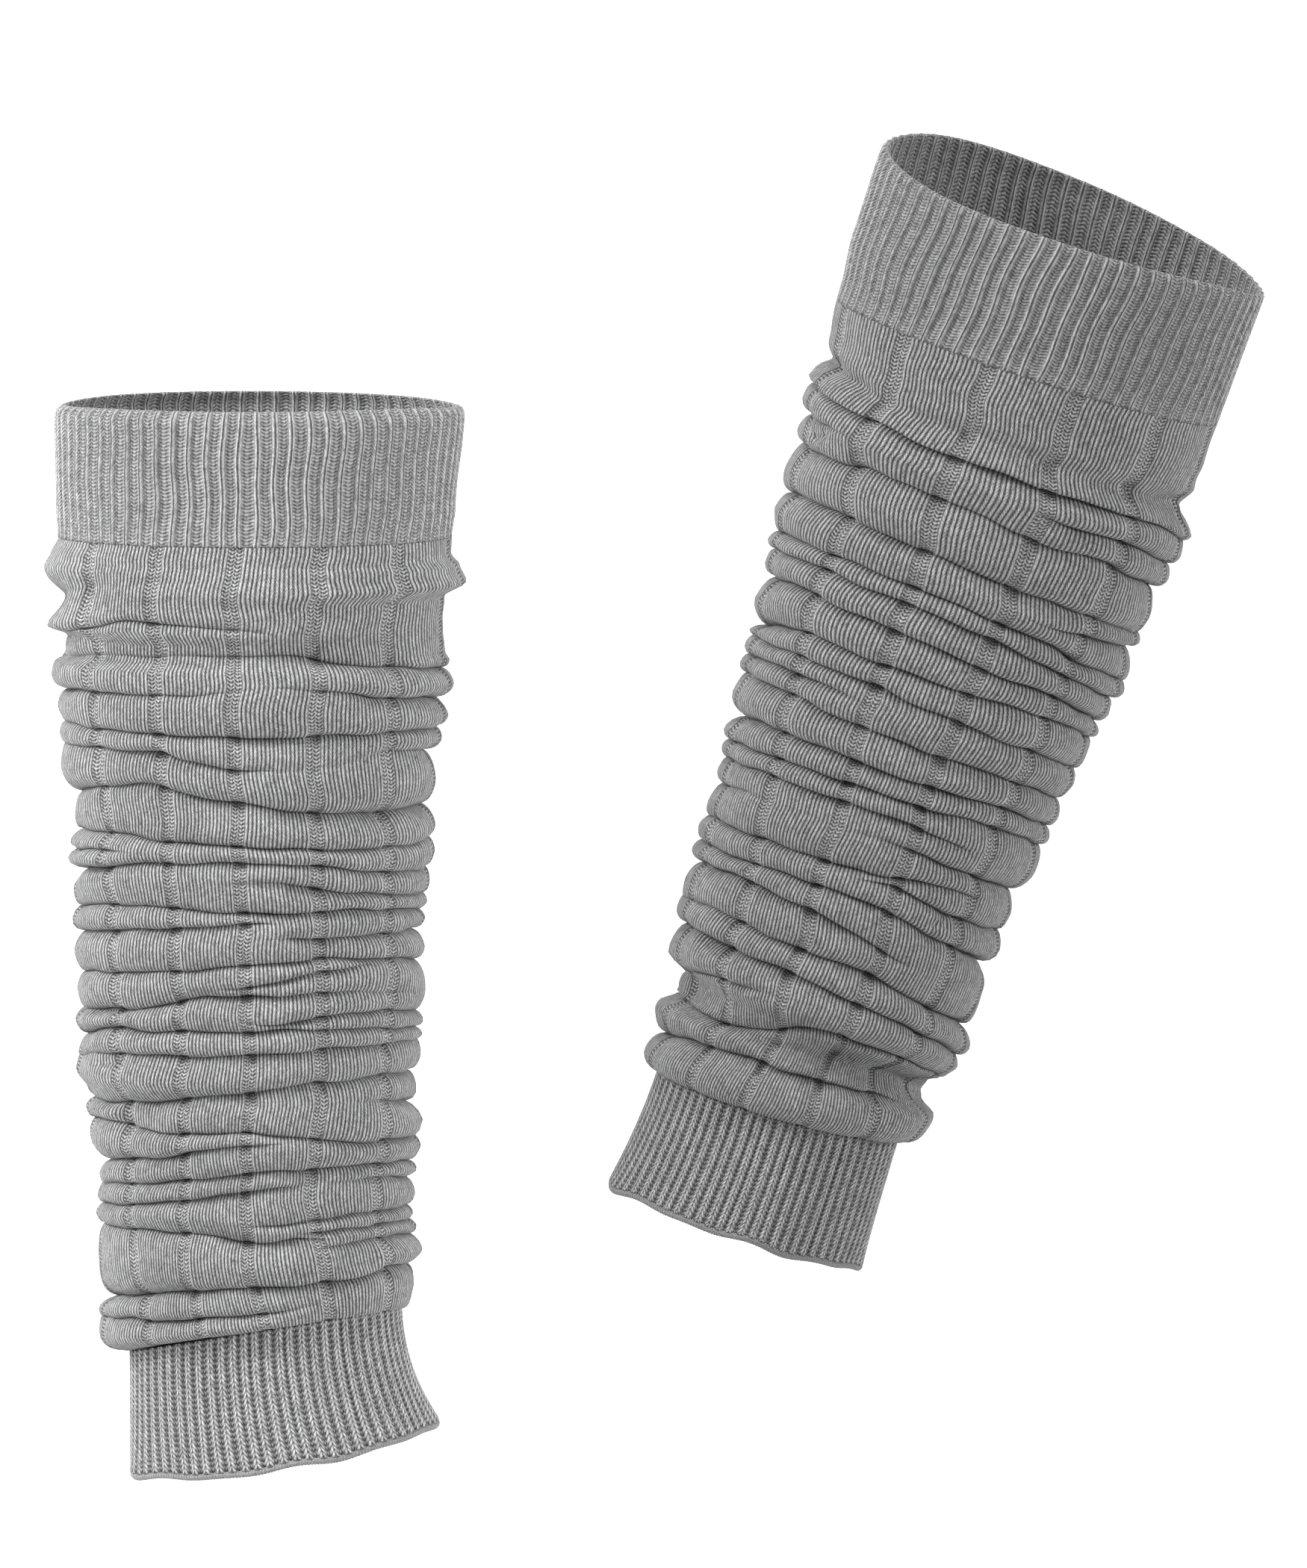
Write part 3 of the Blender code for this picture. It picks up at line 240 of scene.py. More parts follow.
RIGHT_FOLDS = (
    Fold(8, ((-60, 260.3, 3.4), (-51, 255, 2.6), (-43, 252.3, 2), (-30, 251, 1.6), (-10, 250.5, 1.4),
        (20, 250, 1.6), (40, 250.8, 2.4), (63, 252.4, 3.8)), ((251.5, 3), (254, 2), (257, 2.5))),
    Fold(6, ((-61, 252.6, 3.4), (-51, 248, 3.8), (-40, 246.9, 4), (-25, 244.8, 4), (-16, 244.3, 4.2),
        (0, 244, 4.6), (11, 243.9, 4.8), (20, 243.6, 5.4), (30, 243.9, 5.4), (40, 244, 5),
        (48, 244.4, 3.8), (64, 242.4, 1.8)), ((244, 3), (246.5, 4), (249, 4))),
    Fold(4.5, ((-60, 243.3, 3.6), (-54, 241.5, 1.8), (-45, 240, 0.3), (-20, 238.5, 0), (0, 237.5, 0),
        (18, 236, 0.8), (24, 235.7, 2.8), (30, 236, 4.2), (39, 236.2, 4.4), (49, 235.7, 3.4),
        (63, 234.3, 2.8)), ((235.5, 2.5), (238, 2), (241, 3))),
    Fold(6, ((-60, 234.2, 3), (-54, 232, 3.2), (-47, 231.7, 3.4), (-39, 233, 3.8), (-30, 232, 3.4),
        (-20, 231.5, 3), (0, 230.2, 2.8), (11, 228.3, 2.8), (20, 228, 3), (35, 228.7, 3.4),
        (41, 228.8, 3.6), (49, 227.1, 4.2), (62, 226.6, 4.8)), ((228, 3.5), (229, 3), (231, 3))),
    Fold(6, ((-59, 218.6, 4), (-51, 217.9, 4), (-43, 216.7, 4), (-18, 214.5, 4), (0, 213.1, 4.2),
        (11, 212.1, 4.4), (20, 211.7, 4.2), (39, 211.5, 3.6), (49, 210.9, 2.2), (61, 211.8, 1.8)),
        ((214, 3.5), (217, 4), (219, 3.5))),
    Fold(4.5, ((-58, 211.8, 0), (-30, 209.5, 0), (0, 207, 0), (15, 205.8, 0.2), (28, 204.8, 0.8),
        (36, 204.8, 2.8), (41, 205, 3.4), (49, 205.8, 3.6), (60, 206.9, 4)), ((208, 3), (210, 1),
        (212, 0))),
    Fold(5, ((-58, 206.3, 3), (-50, 205, 3.2), (-37, 204, 3.4), (-18, 203.1, 3.6), (0, 201.9, 3.8),
        (11, 201, 4), (20, 200.2, 4.4), (28, 199.8, 5), (35, 199.1, 5), (40, 198, 4.6), (49, 196.6, 3.2),
        (60, 196.3, 1.8)), ((199.5, 3), (203, 3.5), (205.5, 3))),
    Fold(5, ((-57, 200.7, 2.4), (-46, 199.8, 2.8), (-23, 198, 3.2), (-8, 197.2, 3.4), (6, 196.2, 3.6),
        (20, 194.7, 4), (28, 193.6, 4.2), (35, 192.8, 4), (49, 190.7, 3), (60, 190, 2.9)), ((193, 3),
        (196.5, 3), (199, 3))),
    Fold(6, ((-56, 192.4, 5), (-46, 191.9, 4.2), (-34, 190, 3.6), (-25, 189.1, 3.6), (-14, 188.5, 4.4),
        (0, 187.4, 3.4), (12, 185.7, 3.6), (26, 185.3, 4.2), (39, 184.7, 5), (46, 183.8, 4.2),
        (58, 181.8, 3.2)), ((186, 4), (189, 3.5), (191, 4))),
    Fold(5.5, ((-55, 177.2, 7), (-40, 179.3, 3.6), (-25, 178, 3.2), (-14, 177.4, 4.2), (0, 177.1, 3.6),
        (8, 177.1, 3.4), (22, 177.7, 3.4), (38, 177.9, 3.2), (57, 176.4, 2.3)), ((178, 3), (179, 3.5),
        (178.5, 4))),
    Fold(5, ((-54, 173.5, 1.8), (-46, 172.1, 2.6), (-32, 171.4, 3), (-16, 170.5, 4.2), (-3, 169.1, 3.2),
        (11, 168.1, 3.2), (20, 167.4, 3.2), (30, 166.7, 3.2), (55, 166, 2.5)), ((168, 3), (170.5, 3),
        (172.5, 2))),
    Fold(4, ((-54, 167.6, 2.5), (-46, 166.9, 3), (-37, 166.3, 4.2), (-32, 166, 3), (-25, 165.7, 2.2),
        (-18, 164.8, 0.4), (0, 162.8, 0), (30, 161.5, 0), (54, 161, 0)), ((162.5, 0), (164.5, 2),
        (166.5, 3))),
    Fold(5, ((-53, 162.1, 2.5), (-40, 160, 3.2), (-33, 159.3, 3.2), (-25, 158, 3.4), (-10, 156.9, 3.6),
        (0, 156.4, 4), (10, 155.8, 4.2), (30, 156.1, 4.2), (39, 155.8, 3.6), (54, 155.6, 3.2)),
        ((156.5, 3.5), (158.5, 3), (161, 3))),
    Fold(6, ((-53, 149.2, 6.8), (-46, 148.8, 5.2), (-40, 148, 4.2), (-25, 147.4, 4), (-13, 146.6, 5),
        (0, 146, 4.2), (10, 145.8, 5.2), (20, 146.6, 4.4), (35, 147.1, 4), (53, 146.6, 2.3)),
        ((147.5, 3.5), (149, 4.5), (150, 5))),
    Fold(5, ((-52, 140.9, 2), (-43, 140.1, 3.2), (-27, 139.6, 3.4), (-12, 139.5, 4.6), (0, 139.5, 3.6),
        (11, 139.5, 4.4), (23, 140.5, 3.2), (35, 140.9, 3.2), (53, 140.5, 2.6)), ((141.5, 3), (141, 3.5),
        (141, 3))),
    Fold(4.5, ((-51, 135.4, 2), (-43, 134.6, 2.6), (-25, 134, 3), (-13, 133.5, 3.6), (0, 134, 3.2),
        (12, 133.3, 4), (18, 132.5, 2.8), (25, 132.3, 1.8), (34, 132, 0.2), (52, 132, 0)), ((133.5, 1.5),
        (134.5, 3), (135, 2.5))),
    Fold(5, ((-50, 127.3, 3.2), (-42, 127, 1.2), (-25, 126.6, 0.2), (0, 126.3, 0.4), (9, 126.2, 2),
        (15, 126.1, 3), (24, 125, 3.8), (34, 124.3, 5), (40, 124.4, 4.8), (51, 124.7, 5.2)), ((126, 3.5),
        (127.5, 1.5), (127.5, 2))),
    Fold(5, ((-50, 116.9, 2), (-43, 115.3, 3.2), (-34, 114.7, 3.4), (-18, 114.7, 3.4), (-10, 114.3, 4),
        (2, 115, 3.8), (11, 116.2, 3.4), (22, 118, 3), (33, 118.8, 1.8), (39, 118.8, 0.2),
        (50, 118.5, 0)), ((117, 1.5), (117.5, 3), (117, 2.5))),
    Fold(4.5, ((-49, 112.8, 0), (-20, 111.5, 0), (-5, 112, 0.2), (4, 113.2, 1.4), (11, 113.4, 2.8),
        (21, 112.6, 3.6), (26, 111.7, 4), (31, 110.7, 4.8), (39, 110.5, 4), (50, 111.7, 2.5)), ((112, 3),
        (112.5, 1), (112.8, 0))),
    Fold(5, ((-49, 109, 2.4), (-40, 106.9, 3.2), (-20, 106.9, 3.2), (-10, 106.9, 4.4), (0, 106.5, 3.4),
        (13, 105.8, 4.2), (18, 105.3, 3.2), (22, 104, 3.2), (27, 102.6, 3.6), (35, 102.1, 4.2),
        (50, 100.4, 6.5)), ((103.5, 4), (106.5, 3), (108, 3))),
    Fold(5, ((-49, 102.6, 3.6), (-40, 101.9, 3.8), (-29, 100.8, 4.8), (-22, 100, 3.8), (-14, 99.1, 4),
        (-7, 98.1, 4.8), (6, 96, 3.6), (15, 93.6, 2.6), (20, 92.3, 1.2), (26, 91.5, 0), (49, 91, 0)),
        ((93.5, 1), (97.5, 3), (101, 4))),
    Fold(6, ((-48, 90.6, 0.8), (-37, 89.6, 2.6), (-27, 88, 3.2), (-20, 86.7, 3.4), (0, 86.1, 4),
        (12, 85.8, 5), (24, 83.9, 4), (34, 81.7, 4.2), (49, 80.6, 5.6)), ((83.5, 4), (87, 3), (89.5, 2))),
    Fold(5.5, ((-47, 83.4, 4.5), (-39, 81.3, 3.8), (-27, 79.3, 3.8), (-16, 79.3, 3.8), (-12, 78.8, 4.6),
        (0, 77.1, 3.6), (11, 76.2, 3.8), (20, 75.3, 3.8), (33, 73.9, 4), (40, 73, 3.8), (50, 70.8, 3.2)),
        ((74.5, 3.5), (78.5, 3.5), (82, 4))),
    Fold(6, ((-46, 68.6, 1.4), (-37, 69.5, 2.4), (-30, 70, 3), (-22, 70.5, 2.4), (-12, 70.3, 0.2),
        (10, 69.8, 0), (49, 67, 0)), ((68.5, 0), (71, 1.5), (71, 4))),
    Fold(5.5, ((-45, 61.7, 1.6), (-37, 58.2, 2.8), (-25, 56.9, 3.2), (-20, 57.6, 3.2), (-14, 59.3, 3.2),
        (-8, 61, 3.4), (-3, 63, 3.8), (3, 64.3, 4.2), (11, 64.8, 4.2), (30, 64.2, 3.6), (49, 62.5, 1.6)),
        ((61, 5), (60.5, 4), (61.5, 5))),
    Fold(8, ((-45, 54.5, 0), (-20, 53.5, 0.3), (-5, 56, 1.2), (10, 58, 3), (30, 58.4, 3.4),
        (42, 57.4, 2.4), (48, 56.3, 0.6)), ((54.5, 4), (54.5, 2), (55, 0.5))),
    Fold(5.5, ((-44, 48.6, 6.2), (-37, 48.8, 5.2), (-29, 49, 4.4), (-13, 49.3, 4.4), (0, 49, 4.4),
        (11, 49.3, 4.2), (20, 50.2, 3.8), (27, 50.7, 3.4), (33, 51.2, 2.4), (42, 51.2, 0.6),
        (48, 51, 0.4)), ((49, 3), (48.5, 4), (48.5, 5.5))),
)
RIGHT_ANKLE = ((-38.0, 39.6), (-38.7, 40.4), (-41.3, 41.0))

# Short folds and hollows that the rolls don't hold: points are (x, height) as seen from
# the front, x to the right of the tube's place. A soft one is a wide shallow hollow.
LEFT_TUCKS = (
    Tuck(1.0, 3.0, True, ((-12, 183), (0, 184), (12, 182.5), (20, 181.5))),
    Tuck(3.4, 4.0, False, ((-59, 144), (-52, 143.6), (-45, 144.5))),
    Tuck(1.8, 2.6, False, ((-57, 128.5), (-50, 128), (-44, 129))),
    Tuck(2.0, 7.0, True, ((-52, 112), (-40, 112.5), (-30, 114))),
    Tuck(2.6, 5.0, True, ((16, 66.5), (26, 67.5), (36, 68.8))),
    Tuck(1.2, 5.0, True, ((8, 161.5), (20, 163), (30, 163.5))),
)
RIGHT_TUCKS = (
    Tuck(2.4, 3.2, False, ((-58, 237.2), (-55, 238), (-51, 240.4))),
    Tuck(1.4, 2.4, False, ((-53, 183.4), (-46, 183.6), (-38, 184))),
    Tuck(2.0, 2.2, False, ((19, 108.2), (26, 107.6), (33, 109))),
    Tuck(1.4, 4.0, True, ((8, 209.8), (25, 209), (42, 209))),
    Tuck(1.4, 3.0, True, ((-2, 154.2), (18, 154), (36, 154.2))),
    Tuck(2.2, 4.5, True, ((-42, 80), (-34, 80.2), (-26, 80.6))),
    Tuck(2.4, 5.5, True, ((-42, 65), (-32, 65.5), (-22, 66))),
    Tuck(2.2, 5.5, True, ((-6, 59.5), (15, 60), (42, 59.6))),
    Tuck(1.6, 3.0, True, ((-34, 46.5), (0, 46.8), (34, 48))),
)

# Where the ladders seen from the front lie, as (height, turns); the others fill the way round.
LEFT_LADDERS = (
    (275, (-55.7, -30.9, -5.5, 21.8, 49.9)), (225, (-55.5, -30, -4, 23.5, 51)),
    (150, (-53.2, -25.9, -0.5, 28.8, 59.1)), (120, (-52, -25, 0.5, 28, 57.5)),
    (90, (-55.5, -29, -3, 23.2, 54.3)), (65, (-50.7, -28.1, -1.3, 30.2, 60)), (45, (-47, -21, 7, 34, 62)),
)
RIGHT_LADDERS = (
    (262, (-75, -44, -14.4, 15, 46.3)), (248, (-78, -48.5, -17, 16, 47.2)),
    (225, (-76, -45.4, -16.3, 16.2, 48.5)), (195, (-79, -49.5, -17.1, 14.5, 45.5)),
    (170, (-79, -49.5, -18.8, 13.3, 46.8)), (150, (-77, -47.3, -15.9, 13.3, 45.8)),
    (120, (-75, -45.3, -16.8, 15.1, 47.4)), (97, (-73, -42.8, -13.8, 18, 49.5)),
    (80, (-75, -45, -16.5, 15, 47.7)), (65, (-71, -40.5, -12.5, 15, 41.5)),
    (42, (-74, -45.3, -18.6, 10.5, 38.5)),
)

LEFT_WARMER = Warmer(
    side="left", place=(5.5, 0.0, -310.0), lean=0.0, bow=0.0, rise=(5.3, 3.0), lift=0.0,
    spine=((330.0, -5.0), (220.0, -8.0), (120.0, -7.5), (60.0, -6.0), (20.0, -3.0)),
    outline=LEFT_OUTLINE, folds=LEFT_FOLDS,
    top_seam=Seam(290.5, 290.8, 290.5),
    rim=(331.2, 332.0, 332.0, 332.0, 330.6, 331.5, 332.0, 332.0),
    ankle_seam=Seam(37.6, 49.0, 51.0),
    ankle_tuck=(9.7, 8.0, 5.6, 4.5, 4.0, 4.5, 5.0, 8.0),
    ankle=LEFT_ANKLE, hem=(2.0, 16.6), rib_twist=0.0,
    tucks=LEFT_TUCKS, ladders=LEFT_LADDERS,
    # Painted light and shade: both warmers are one yarn; this one's tones are set paler and the right one's
    # darker, for the light that falls on each.
    yarn=Yarn(light=(0.79, 0.79, 0.795), dark=(0.014, 0.014, 0.015)))
RIGHT_WARMER = Warmer(
    side="right", place=(146.95, 0.0, -231.8), lean=18.6, bow=8.5, rise=(3.9, 10.2), lift=5.2,
    spine=((330.0, 0.0), (220.0, 1.3), (120.0, 0.4), (60.0, 1.0), (0.0, 0.0)),
    outline=RIGHT_OUTLINE, folds=RIGHT_FOLDS,
    top_seam=Seam(282.0, 286.6, 283.0),
    rim=(332.0, 329.6, 330.2, 330.0, 326.0, 328.2, 331.9, 334.6),
    ankle_seam=Seam(37.5, 38.6, 41.0),
    ankle_tuck=(5.6, 5.5, 6.0, 7.5, 9.0, 7.5, 6.0, 5.6),
    ankle=RIGHT_ANKLE, hem=(0.4, 0.4), rib_twist=4.0,
    tucks=RIGHT_TUCKS, ladders=RIGHT_LADDERS,
    # Painted shade: the same yarn as the left warmer's, set darker for the shade on this warmer.
    yarn=Yarn(light=(0.55, 0.55, 0.555), dark=(0.010, 0.010, 0.011)))

# ---------------------------------------------------------------- shares of the knit's grid
KNIT_MAP = "knit"
SEAM_GAP = 0.1
LADDER_HALF = 0.084  # half a ladder's width, as a share of the way to the next
LADDER_FLOOR = 0.062  # and half of its floor
LADDER_FLOOR_SHARE = 0.9
PANEL_EDGE = 0.100  # a panel starts this far from the ladder's middle
PANEL_COLUMNS = 13
PANEL_CROWN = 0.30  # how far a panel swells between its ladders

# Hidden short folds: how many, and the ranges that they are drawn from.
HIDDEN_TUCKS = 16
HIDDEN_ANGLES = (85.0, 275.0)
HIDDEN_LOWEST, HIDDEN_HIGHEST = 52.0, 262.0
HIDDEN_REACH = (10.0, 26.0)
HIDDEN_SLOPE, HIDDEN_BEND = 2.5, 1.0
HIDDEN_DEPTHS = (1.2, 2.6)
HIDDEN_WIDTHS = (2.0, 3.4)
HIDDEN_SEEDS = {"left": 5, "right": 11}

# One rib and its groove: share of the rib's pitch, inset from the crest, wale number.
TOP_RIB = (
    (0.00, 1.20, 0.0), (0.06, 0.60, 1 / 6), (0.13, 0.12, 2 / 6), (0.20, 0.00, 3 / 6),
    (0.27, 0.12, 4 / 6), (0.34, 0.60, 5 / 6), (0.40, 1.20, 1.0), (0.70, 1.05, 1.5),
)
ANKLE_RIB = (
    (0.00, 0.62, 0.0), (0.11, 0.24, 1 / 6), (0.23, 0.06, 2 / 6), (0.35, 0.00, 3 / 6),
    (0.47, 0.06, 4 / 6), (0.59, 0.24, 5 / 6), (0.70, 0.62, 1.0), (0.775, 0.78, 1.25),
    (0.85, 0.84, 1.5), (0.925, 0.78, 1.75),
)
SEAM_DRAW, SEAM_FADE = 0.3, 6.0  # the leg is drawn in at the top cuff's seam, so far below it
SEAM_RELIEF, SEAM_SHARE = 0.35, 0.2  # the cuff's ribs are this low at the seam, and rise over this
CUFF_WALES = 2  # wales to a rib and its groove
INNER_RELIEF = 0.55  # how much of the ribs' relief shows on the inside
TOP_CUFF_RINGS, TOP_CUFF_INNER_RINGS = 46, 30
ANKLE_CUFF_RINGS, ANKLE_CUFF_INNER_RINGS = 50, 20
LIP_HEIGHT = 0.7
LIP_SHARES = (0.2, 0.4, 0.6, 0.8)

HEM_HEIGHT, HEM_THICKNESS = 2.0, 1.6
HEM_CURVE = 1.25  # above 1 the foot rises more toward its higher side
HEM_SWAY_POWER = 4
HEM_SECTION = 12
HEM_STITCHES, HEM_STITCH_COLUMNS = 260, 4
HEM_STITCH_RELIEF = 0.12

# ---------------------------------------------------------------- the yarn
V_ROUNDNESS = 1.6
V_SWELL = 0.6
RUNG_BEND = 0.25  # purl rungs bend by this share of a course, up and down
RUNG_ROUNDNESS = 0.9  # below 1 a rung is broad and the gap beside it narrow
RUNG_DIP = 0.35  # and dip between their crests
STITCH_TONE = 0.11  # one stitch's tone strays from the next one's by this
FLECKS = Noise(1700.0, 3.0, 0.65, 0.40)
CLOUDS = Noise(500.0, 2.0, 0.50, 0.16)
STREAKS = Noise(1.0, 2.0, 0.60, 0.08)
STREAK_FINE, STREAK_LONG = 3.0, 1.0  # streaks to a course, and to a wale
NOISE_LOW, NOISE_HIGH = 0.3, 0.7  # nearly all of a noise lies between these
FLECK_RELIEF = 0.40
YARN_SHADER = (("Roughness", 0.9), ("Specular IOR Level", 0.2),
               ("Sheen Weight", 0.2), ("Sheen Roughness", 0.5))
MIX_DARK, MIX_LIGHT, MIX_COLOUR = 6, 7, 2  # the Mix node's colour sockets: two in, one out
STRAND_TONE = 0.84  # how much paler a strand is than the painted shade of its gap, from dark to light
# A course's height in mm. The courses that a stitch's leg climbs from its middle to its edge.
# Below 1 the gap inside a stitch is narrower than the one beside it. How far that inner gap, the
# one beside it and the gap between two purl rungs are bridged. How high a leg stands where it
# passes under the next, and how high the purls are; lower parts also get more painted shade, so
# the purls in the rib grooves and ladders are darker. How far the painted shade reaches up from
# each gap.
Stitch = namedtuple("Stitch", "course slope middle join bridge rung_bridge waist purl dark_reach")
TOP_CUFF_STITCH = Stitch(1.10, 2.0, 0.92, 0.00, 0.50, 0.40, 0.60, 0.67, 0.88)
LEG_STITCH = Stitch(1.20, 2.0, 0.85, 0.00, 0.20, 0.31, 0.55, 0.95, 1.20)
ANKLE_STITCH = Stitch(1.50, -1.2, 0.70, 0.44, 0.64, 0.30, 0.35, 0.66, 1.35)
HEM_STITCH = Stitch(1.15, 2.0, 0.62, 0.00, 0.40, 0.15, 0.80, 1.00, 0.80)
HEM_LIGHT, HEM_DARK = 0.66, 0.36  # the binding's strand tone and the painted shade of its gaps, as shares of the yarn's pale one

# ---------------------------------------------------------------- the studio
SENSOR = 36.0
CAMERA_DISTANCE = 4.0
VIEW_DEPTH = 50.0
CAMERA_ELEVATION = 5.7
VIEW_HEIGHT = 0.483
VIEW_CENTRE = (0.12165, -0.0961)
VIEW_TARGET = (0.12, 0.0, -0.10)
FLOOR_HEIGHT, FLOOR_REACH = -0.62, 40.0
FLOOR_PAPER, WALL_PAPER = 0.62, 0.86
WALL_PLACE, WALL_REACH = 12.0, 37.0  # the wall is far enough off to look at the pair from behind
SWEEP, SWEEP_STEPS = 1.0, 12
BACKDROP_GLOW = 0.88
GLOW_START, GLOW_FULL = 0.6, 1.3  # how far behind the pair the paper starts to glow, and is whitest
PAPER_ROUGHNESS = 0.9
WORLD_STRENGTH = 0.27
WHITE = (1.0, 1.0, 1.0, 1.0)
LAMPS = (  # name, place, size, watts
    ("key", (-2.2, -1.1, 2.0), 1.0, 84.0),
    ("left", (-1.6, -0.65, 0.35), 0.7, 10.5),
    ("fill", (3.6, -1.7, 0.8), 1.4, 86.0),
    ("top", (0.2, -1.1, 2.6), 1.0, 30.0),
)

# ---------------------------------------------------------------- reading the tables
def eased(share):
    """A share that leaves 0 and nears 1 gently."""
    return share * share * (3.0 - 2.0 * share)


def between(rows, height):
    """The values at some heights, from rows of (height, value) listed from the top down."""
    heights = np.array([row[0] for row in reversed(rows)], dtype=float)
    values = np.array([row[1] for row in reversed(rows)], dtype=float)
    height = np.clip(height, heights[0], heights[-1])
    upper = np.clip(np.searchsorted(heights, height), 1, len(heights) - 1)
    share = (height - heights[upper - 1]) / (heights[upper] - heights[upper - 1])
    return values[upper - 1] + (values[upper] - values[upper - 1]) * eased(share)


def smooth_step(start, end, slope_in, slope_out, share):
    """A smooth curve's value a share of the way between two values, with the slopes at both."""
    square, cube = share ** 2, share ** 3
    return (start * (2.0 * cube - 3.0 * square + 1.0) + slope_in * (cube - 2.0 * square + share)
            + end * (3.0 * square - 2.0 * cube) + slope_out * (cube - square))


def around(values, angle):
    """A smooth closed curve through the eight stations' values, at some angles."""
    values = np.array(values, dtype=float)
    place = (np.asarray(angle) - FIRST_STATION) / STATION_STEP
    first = np.floor(place).astype(int)
    share = place - first
    before, start, end, after = (values[(first + step) % len(values)] for step in (-1, 0, 1, 2))
    return smooth_step(start, end, (end - before) / 2.0, (after - start) / 2.0, share)


def sine(angle):
    return np.sin(np.radians(angle))


def cosine(angle):
    return np.cos(np.radians(angle))


def waved(waves, turn, along=0.0):
    """The sum of some slow waves, round the tube and along it."""
    return sum(wave.size * np.sin(wave.round * turn + wave.along * along + wave.start) for wave in waves)


def even_angle(turn):
    """The oval's angle for an even share of the way round."""
    return turn - np.degrees(OVALNESS / 2.0 * sine(2.0 * turn))


def front_rise(warmer, height, angle):
    """Folds are listed on planes that fall toward the front and lower with the bow; this lifts them."""
    at_hem, at_top = warmer.rise
    return ((at_hem + (at_top - at_hem) * height / FULL_HEIGHT) * around(FRONT_SHARE, angle)
            + warmer.lift * (height / FULL_HEIGHT) ** 2)


def seam_height(seam, angle):
    """A seam lies on a plane through its left, front and right heights."""
    middle = (seam.left + seam.right) / 2.0
    return middle + (seam.right - middle) * sine(angle) + (seam.front - middle) * cosine(angle)


# ---------------------------------------------------------------- points on the cloth
def oval_point(left, right, middle, depth, angle, inset):
    """Points of an oval section, moved inward by the inset."""
    side, front = sine(angle), cosine(angle)
    half = np.where(side > 0.0, right - middle, middle - left)
    out_x, out_y = depth * side, -half * front
    length = np.hypot(out_x, out_y)
    return middle + half * side - inset * out_x / length, -depth * front - inset * out_y / length


def placed(warmer, x, y, z):
    """From a warmer's own millimetres to the row frame's metres: bowed, leaned and set down."""
    if warmer.bow:
        turn_per_height = radians(warmer.bow) / FULL_HEIGHT
        tip = turn_per_height * z
        y, z = (y * np.cos(tip) - (1.0 - np.cos(tip)) / turn_per_height,
                y * np.sin(tip) + np.sin(tip) / turn_per_height)
    lean_cos, lean_sin = cosine(warmer.lean), sine(warmer.lean)
    x, z = x * lean_cos + z * lean_sin, z * lean_cos - x * lean_sin
    place_x, place_y, place_z = warmer.place
    return np.stack([x + place_x, y + place_y, z + place_z], axis=-1) * MM


def tube_section(warmer, height):
    left = between([(at, edge) for at, edge, _ in warmer.outline], height)
    right = between([(at, edge) for at, _, edge in warmer.outline], height)
    middle = between(warmer.spine, height)
    share = DEPTH_SHARE_HEM + (DEPTH_SHARE_TOP - DEPTH_SHARE_HEM) * height / FULL_HEIGHT
    return left, right, middle, (right - left) / 2.0 * share


def tube_point(warmer, angle, height, inset):
    """Points of the leg or top cuff at an angle, height and inset from the crests."""
    x, y = oval_point(*tube_section(warmer, height), angle, inset)
    return placed(warmer, x, y, height)


# ---------------------------------------------------------------- the creases of a leg
def closed_curve(places, values, angle):
    """A smooth closed curve through values at uneven places round the tube."""
    places, values = np.array(places, dtype=float), np.array(values, dtype=float)
    places = np.concatenate([places[-2:] - 360.0, places, places[:2] + 360.0])
    values = np.concatenate([values[-2:], values, values[:2]])
    rates = np.diff(values) / np.diff(places)
    before, after = rates[:-1], rates[1:]
    total = np.where(before * after > 0.0, before + after, 1.0)
    slopes = np.where(before * after > 0.0, 2.0 * before * after / total, 0.0)
    places, values = places[1:-1], values[1:-1]
    angle = (np.asarray(angle) - places[1]) % 360.0 + places[1]
    first = np.clip(np.searchsorted(places, angle, side="right") - 1, 0, len(places) - 2)
    step = places[first + 1] - places[first]
    return smooth_step(values[first], values[first + 1], slopes[first] * step, slopes[first + 1] * step,
                       (angle - places[first]) / step)


def seen_angle(warmer, x, height):
    """The angle on the tube of a point seen from the front."""
    left, right, middle, _ = tube_section(warmer, np.array(float(height)))
    half = right - middle if x > middle else middle - left
    return float(np.degrees(np.arcsin(np.clip((x - middle) / half, -EDGE_SINE, EDGE_SINE))))


def chart_fold(warmer, fold, angles):
    """A fold's heights and depths at every angle, from its readings."""
    places = [seen_angle(warmer, x, height) for x, height, _ in fold.front]
    places[0], places[-1] = -90.0, 90.0
    places += BACK_ANGLES
    heights = [height for _, height, _ in fold.front] + [height for height, _ in fold.back]
    depths = [depth for _, _, depth in fold.front] + [depth for _, depth in fold.back]
    height = closed_curve(places, heights, angles)
    depth = np.maximum(0.0, closed_curve(places, depths, angles))
    return height + front_rise(warmer, height, angles), depth * (DEPTH_GAIN - GAIN_FALL * depth)


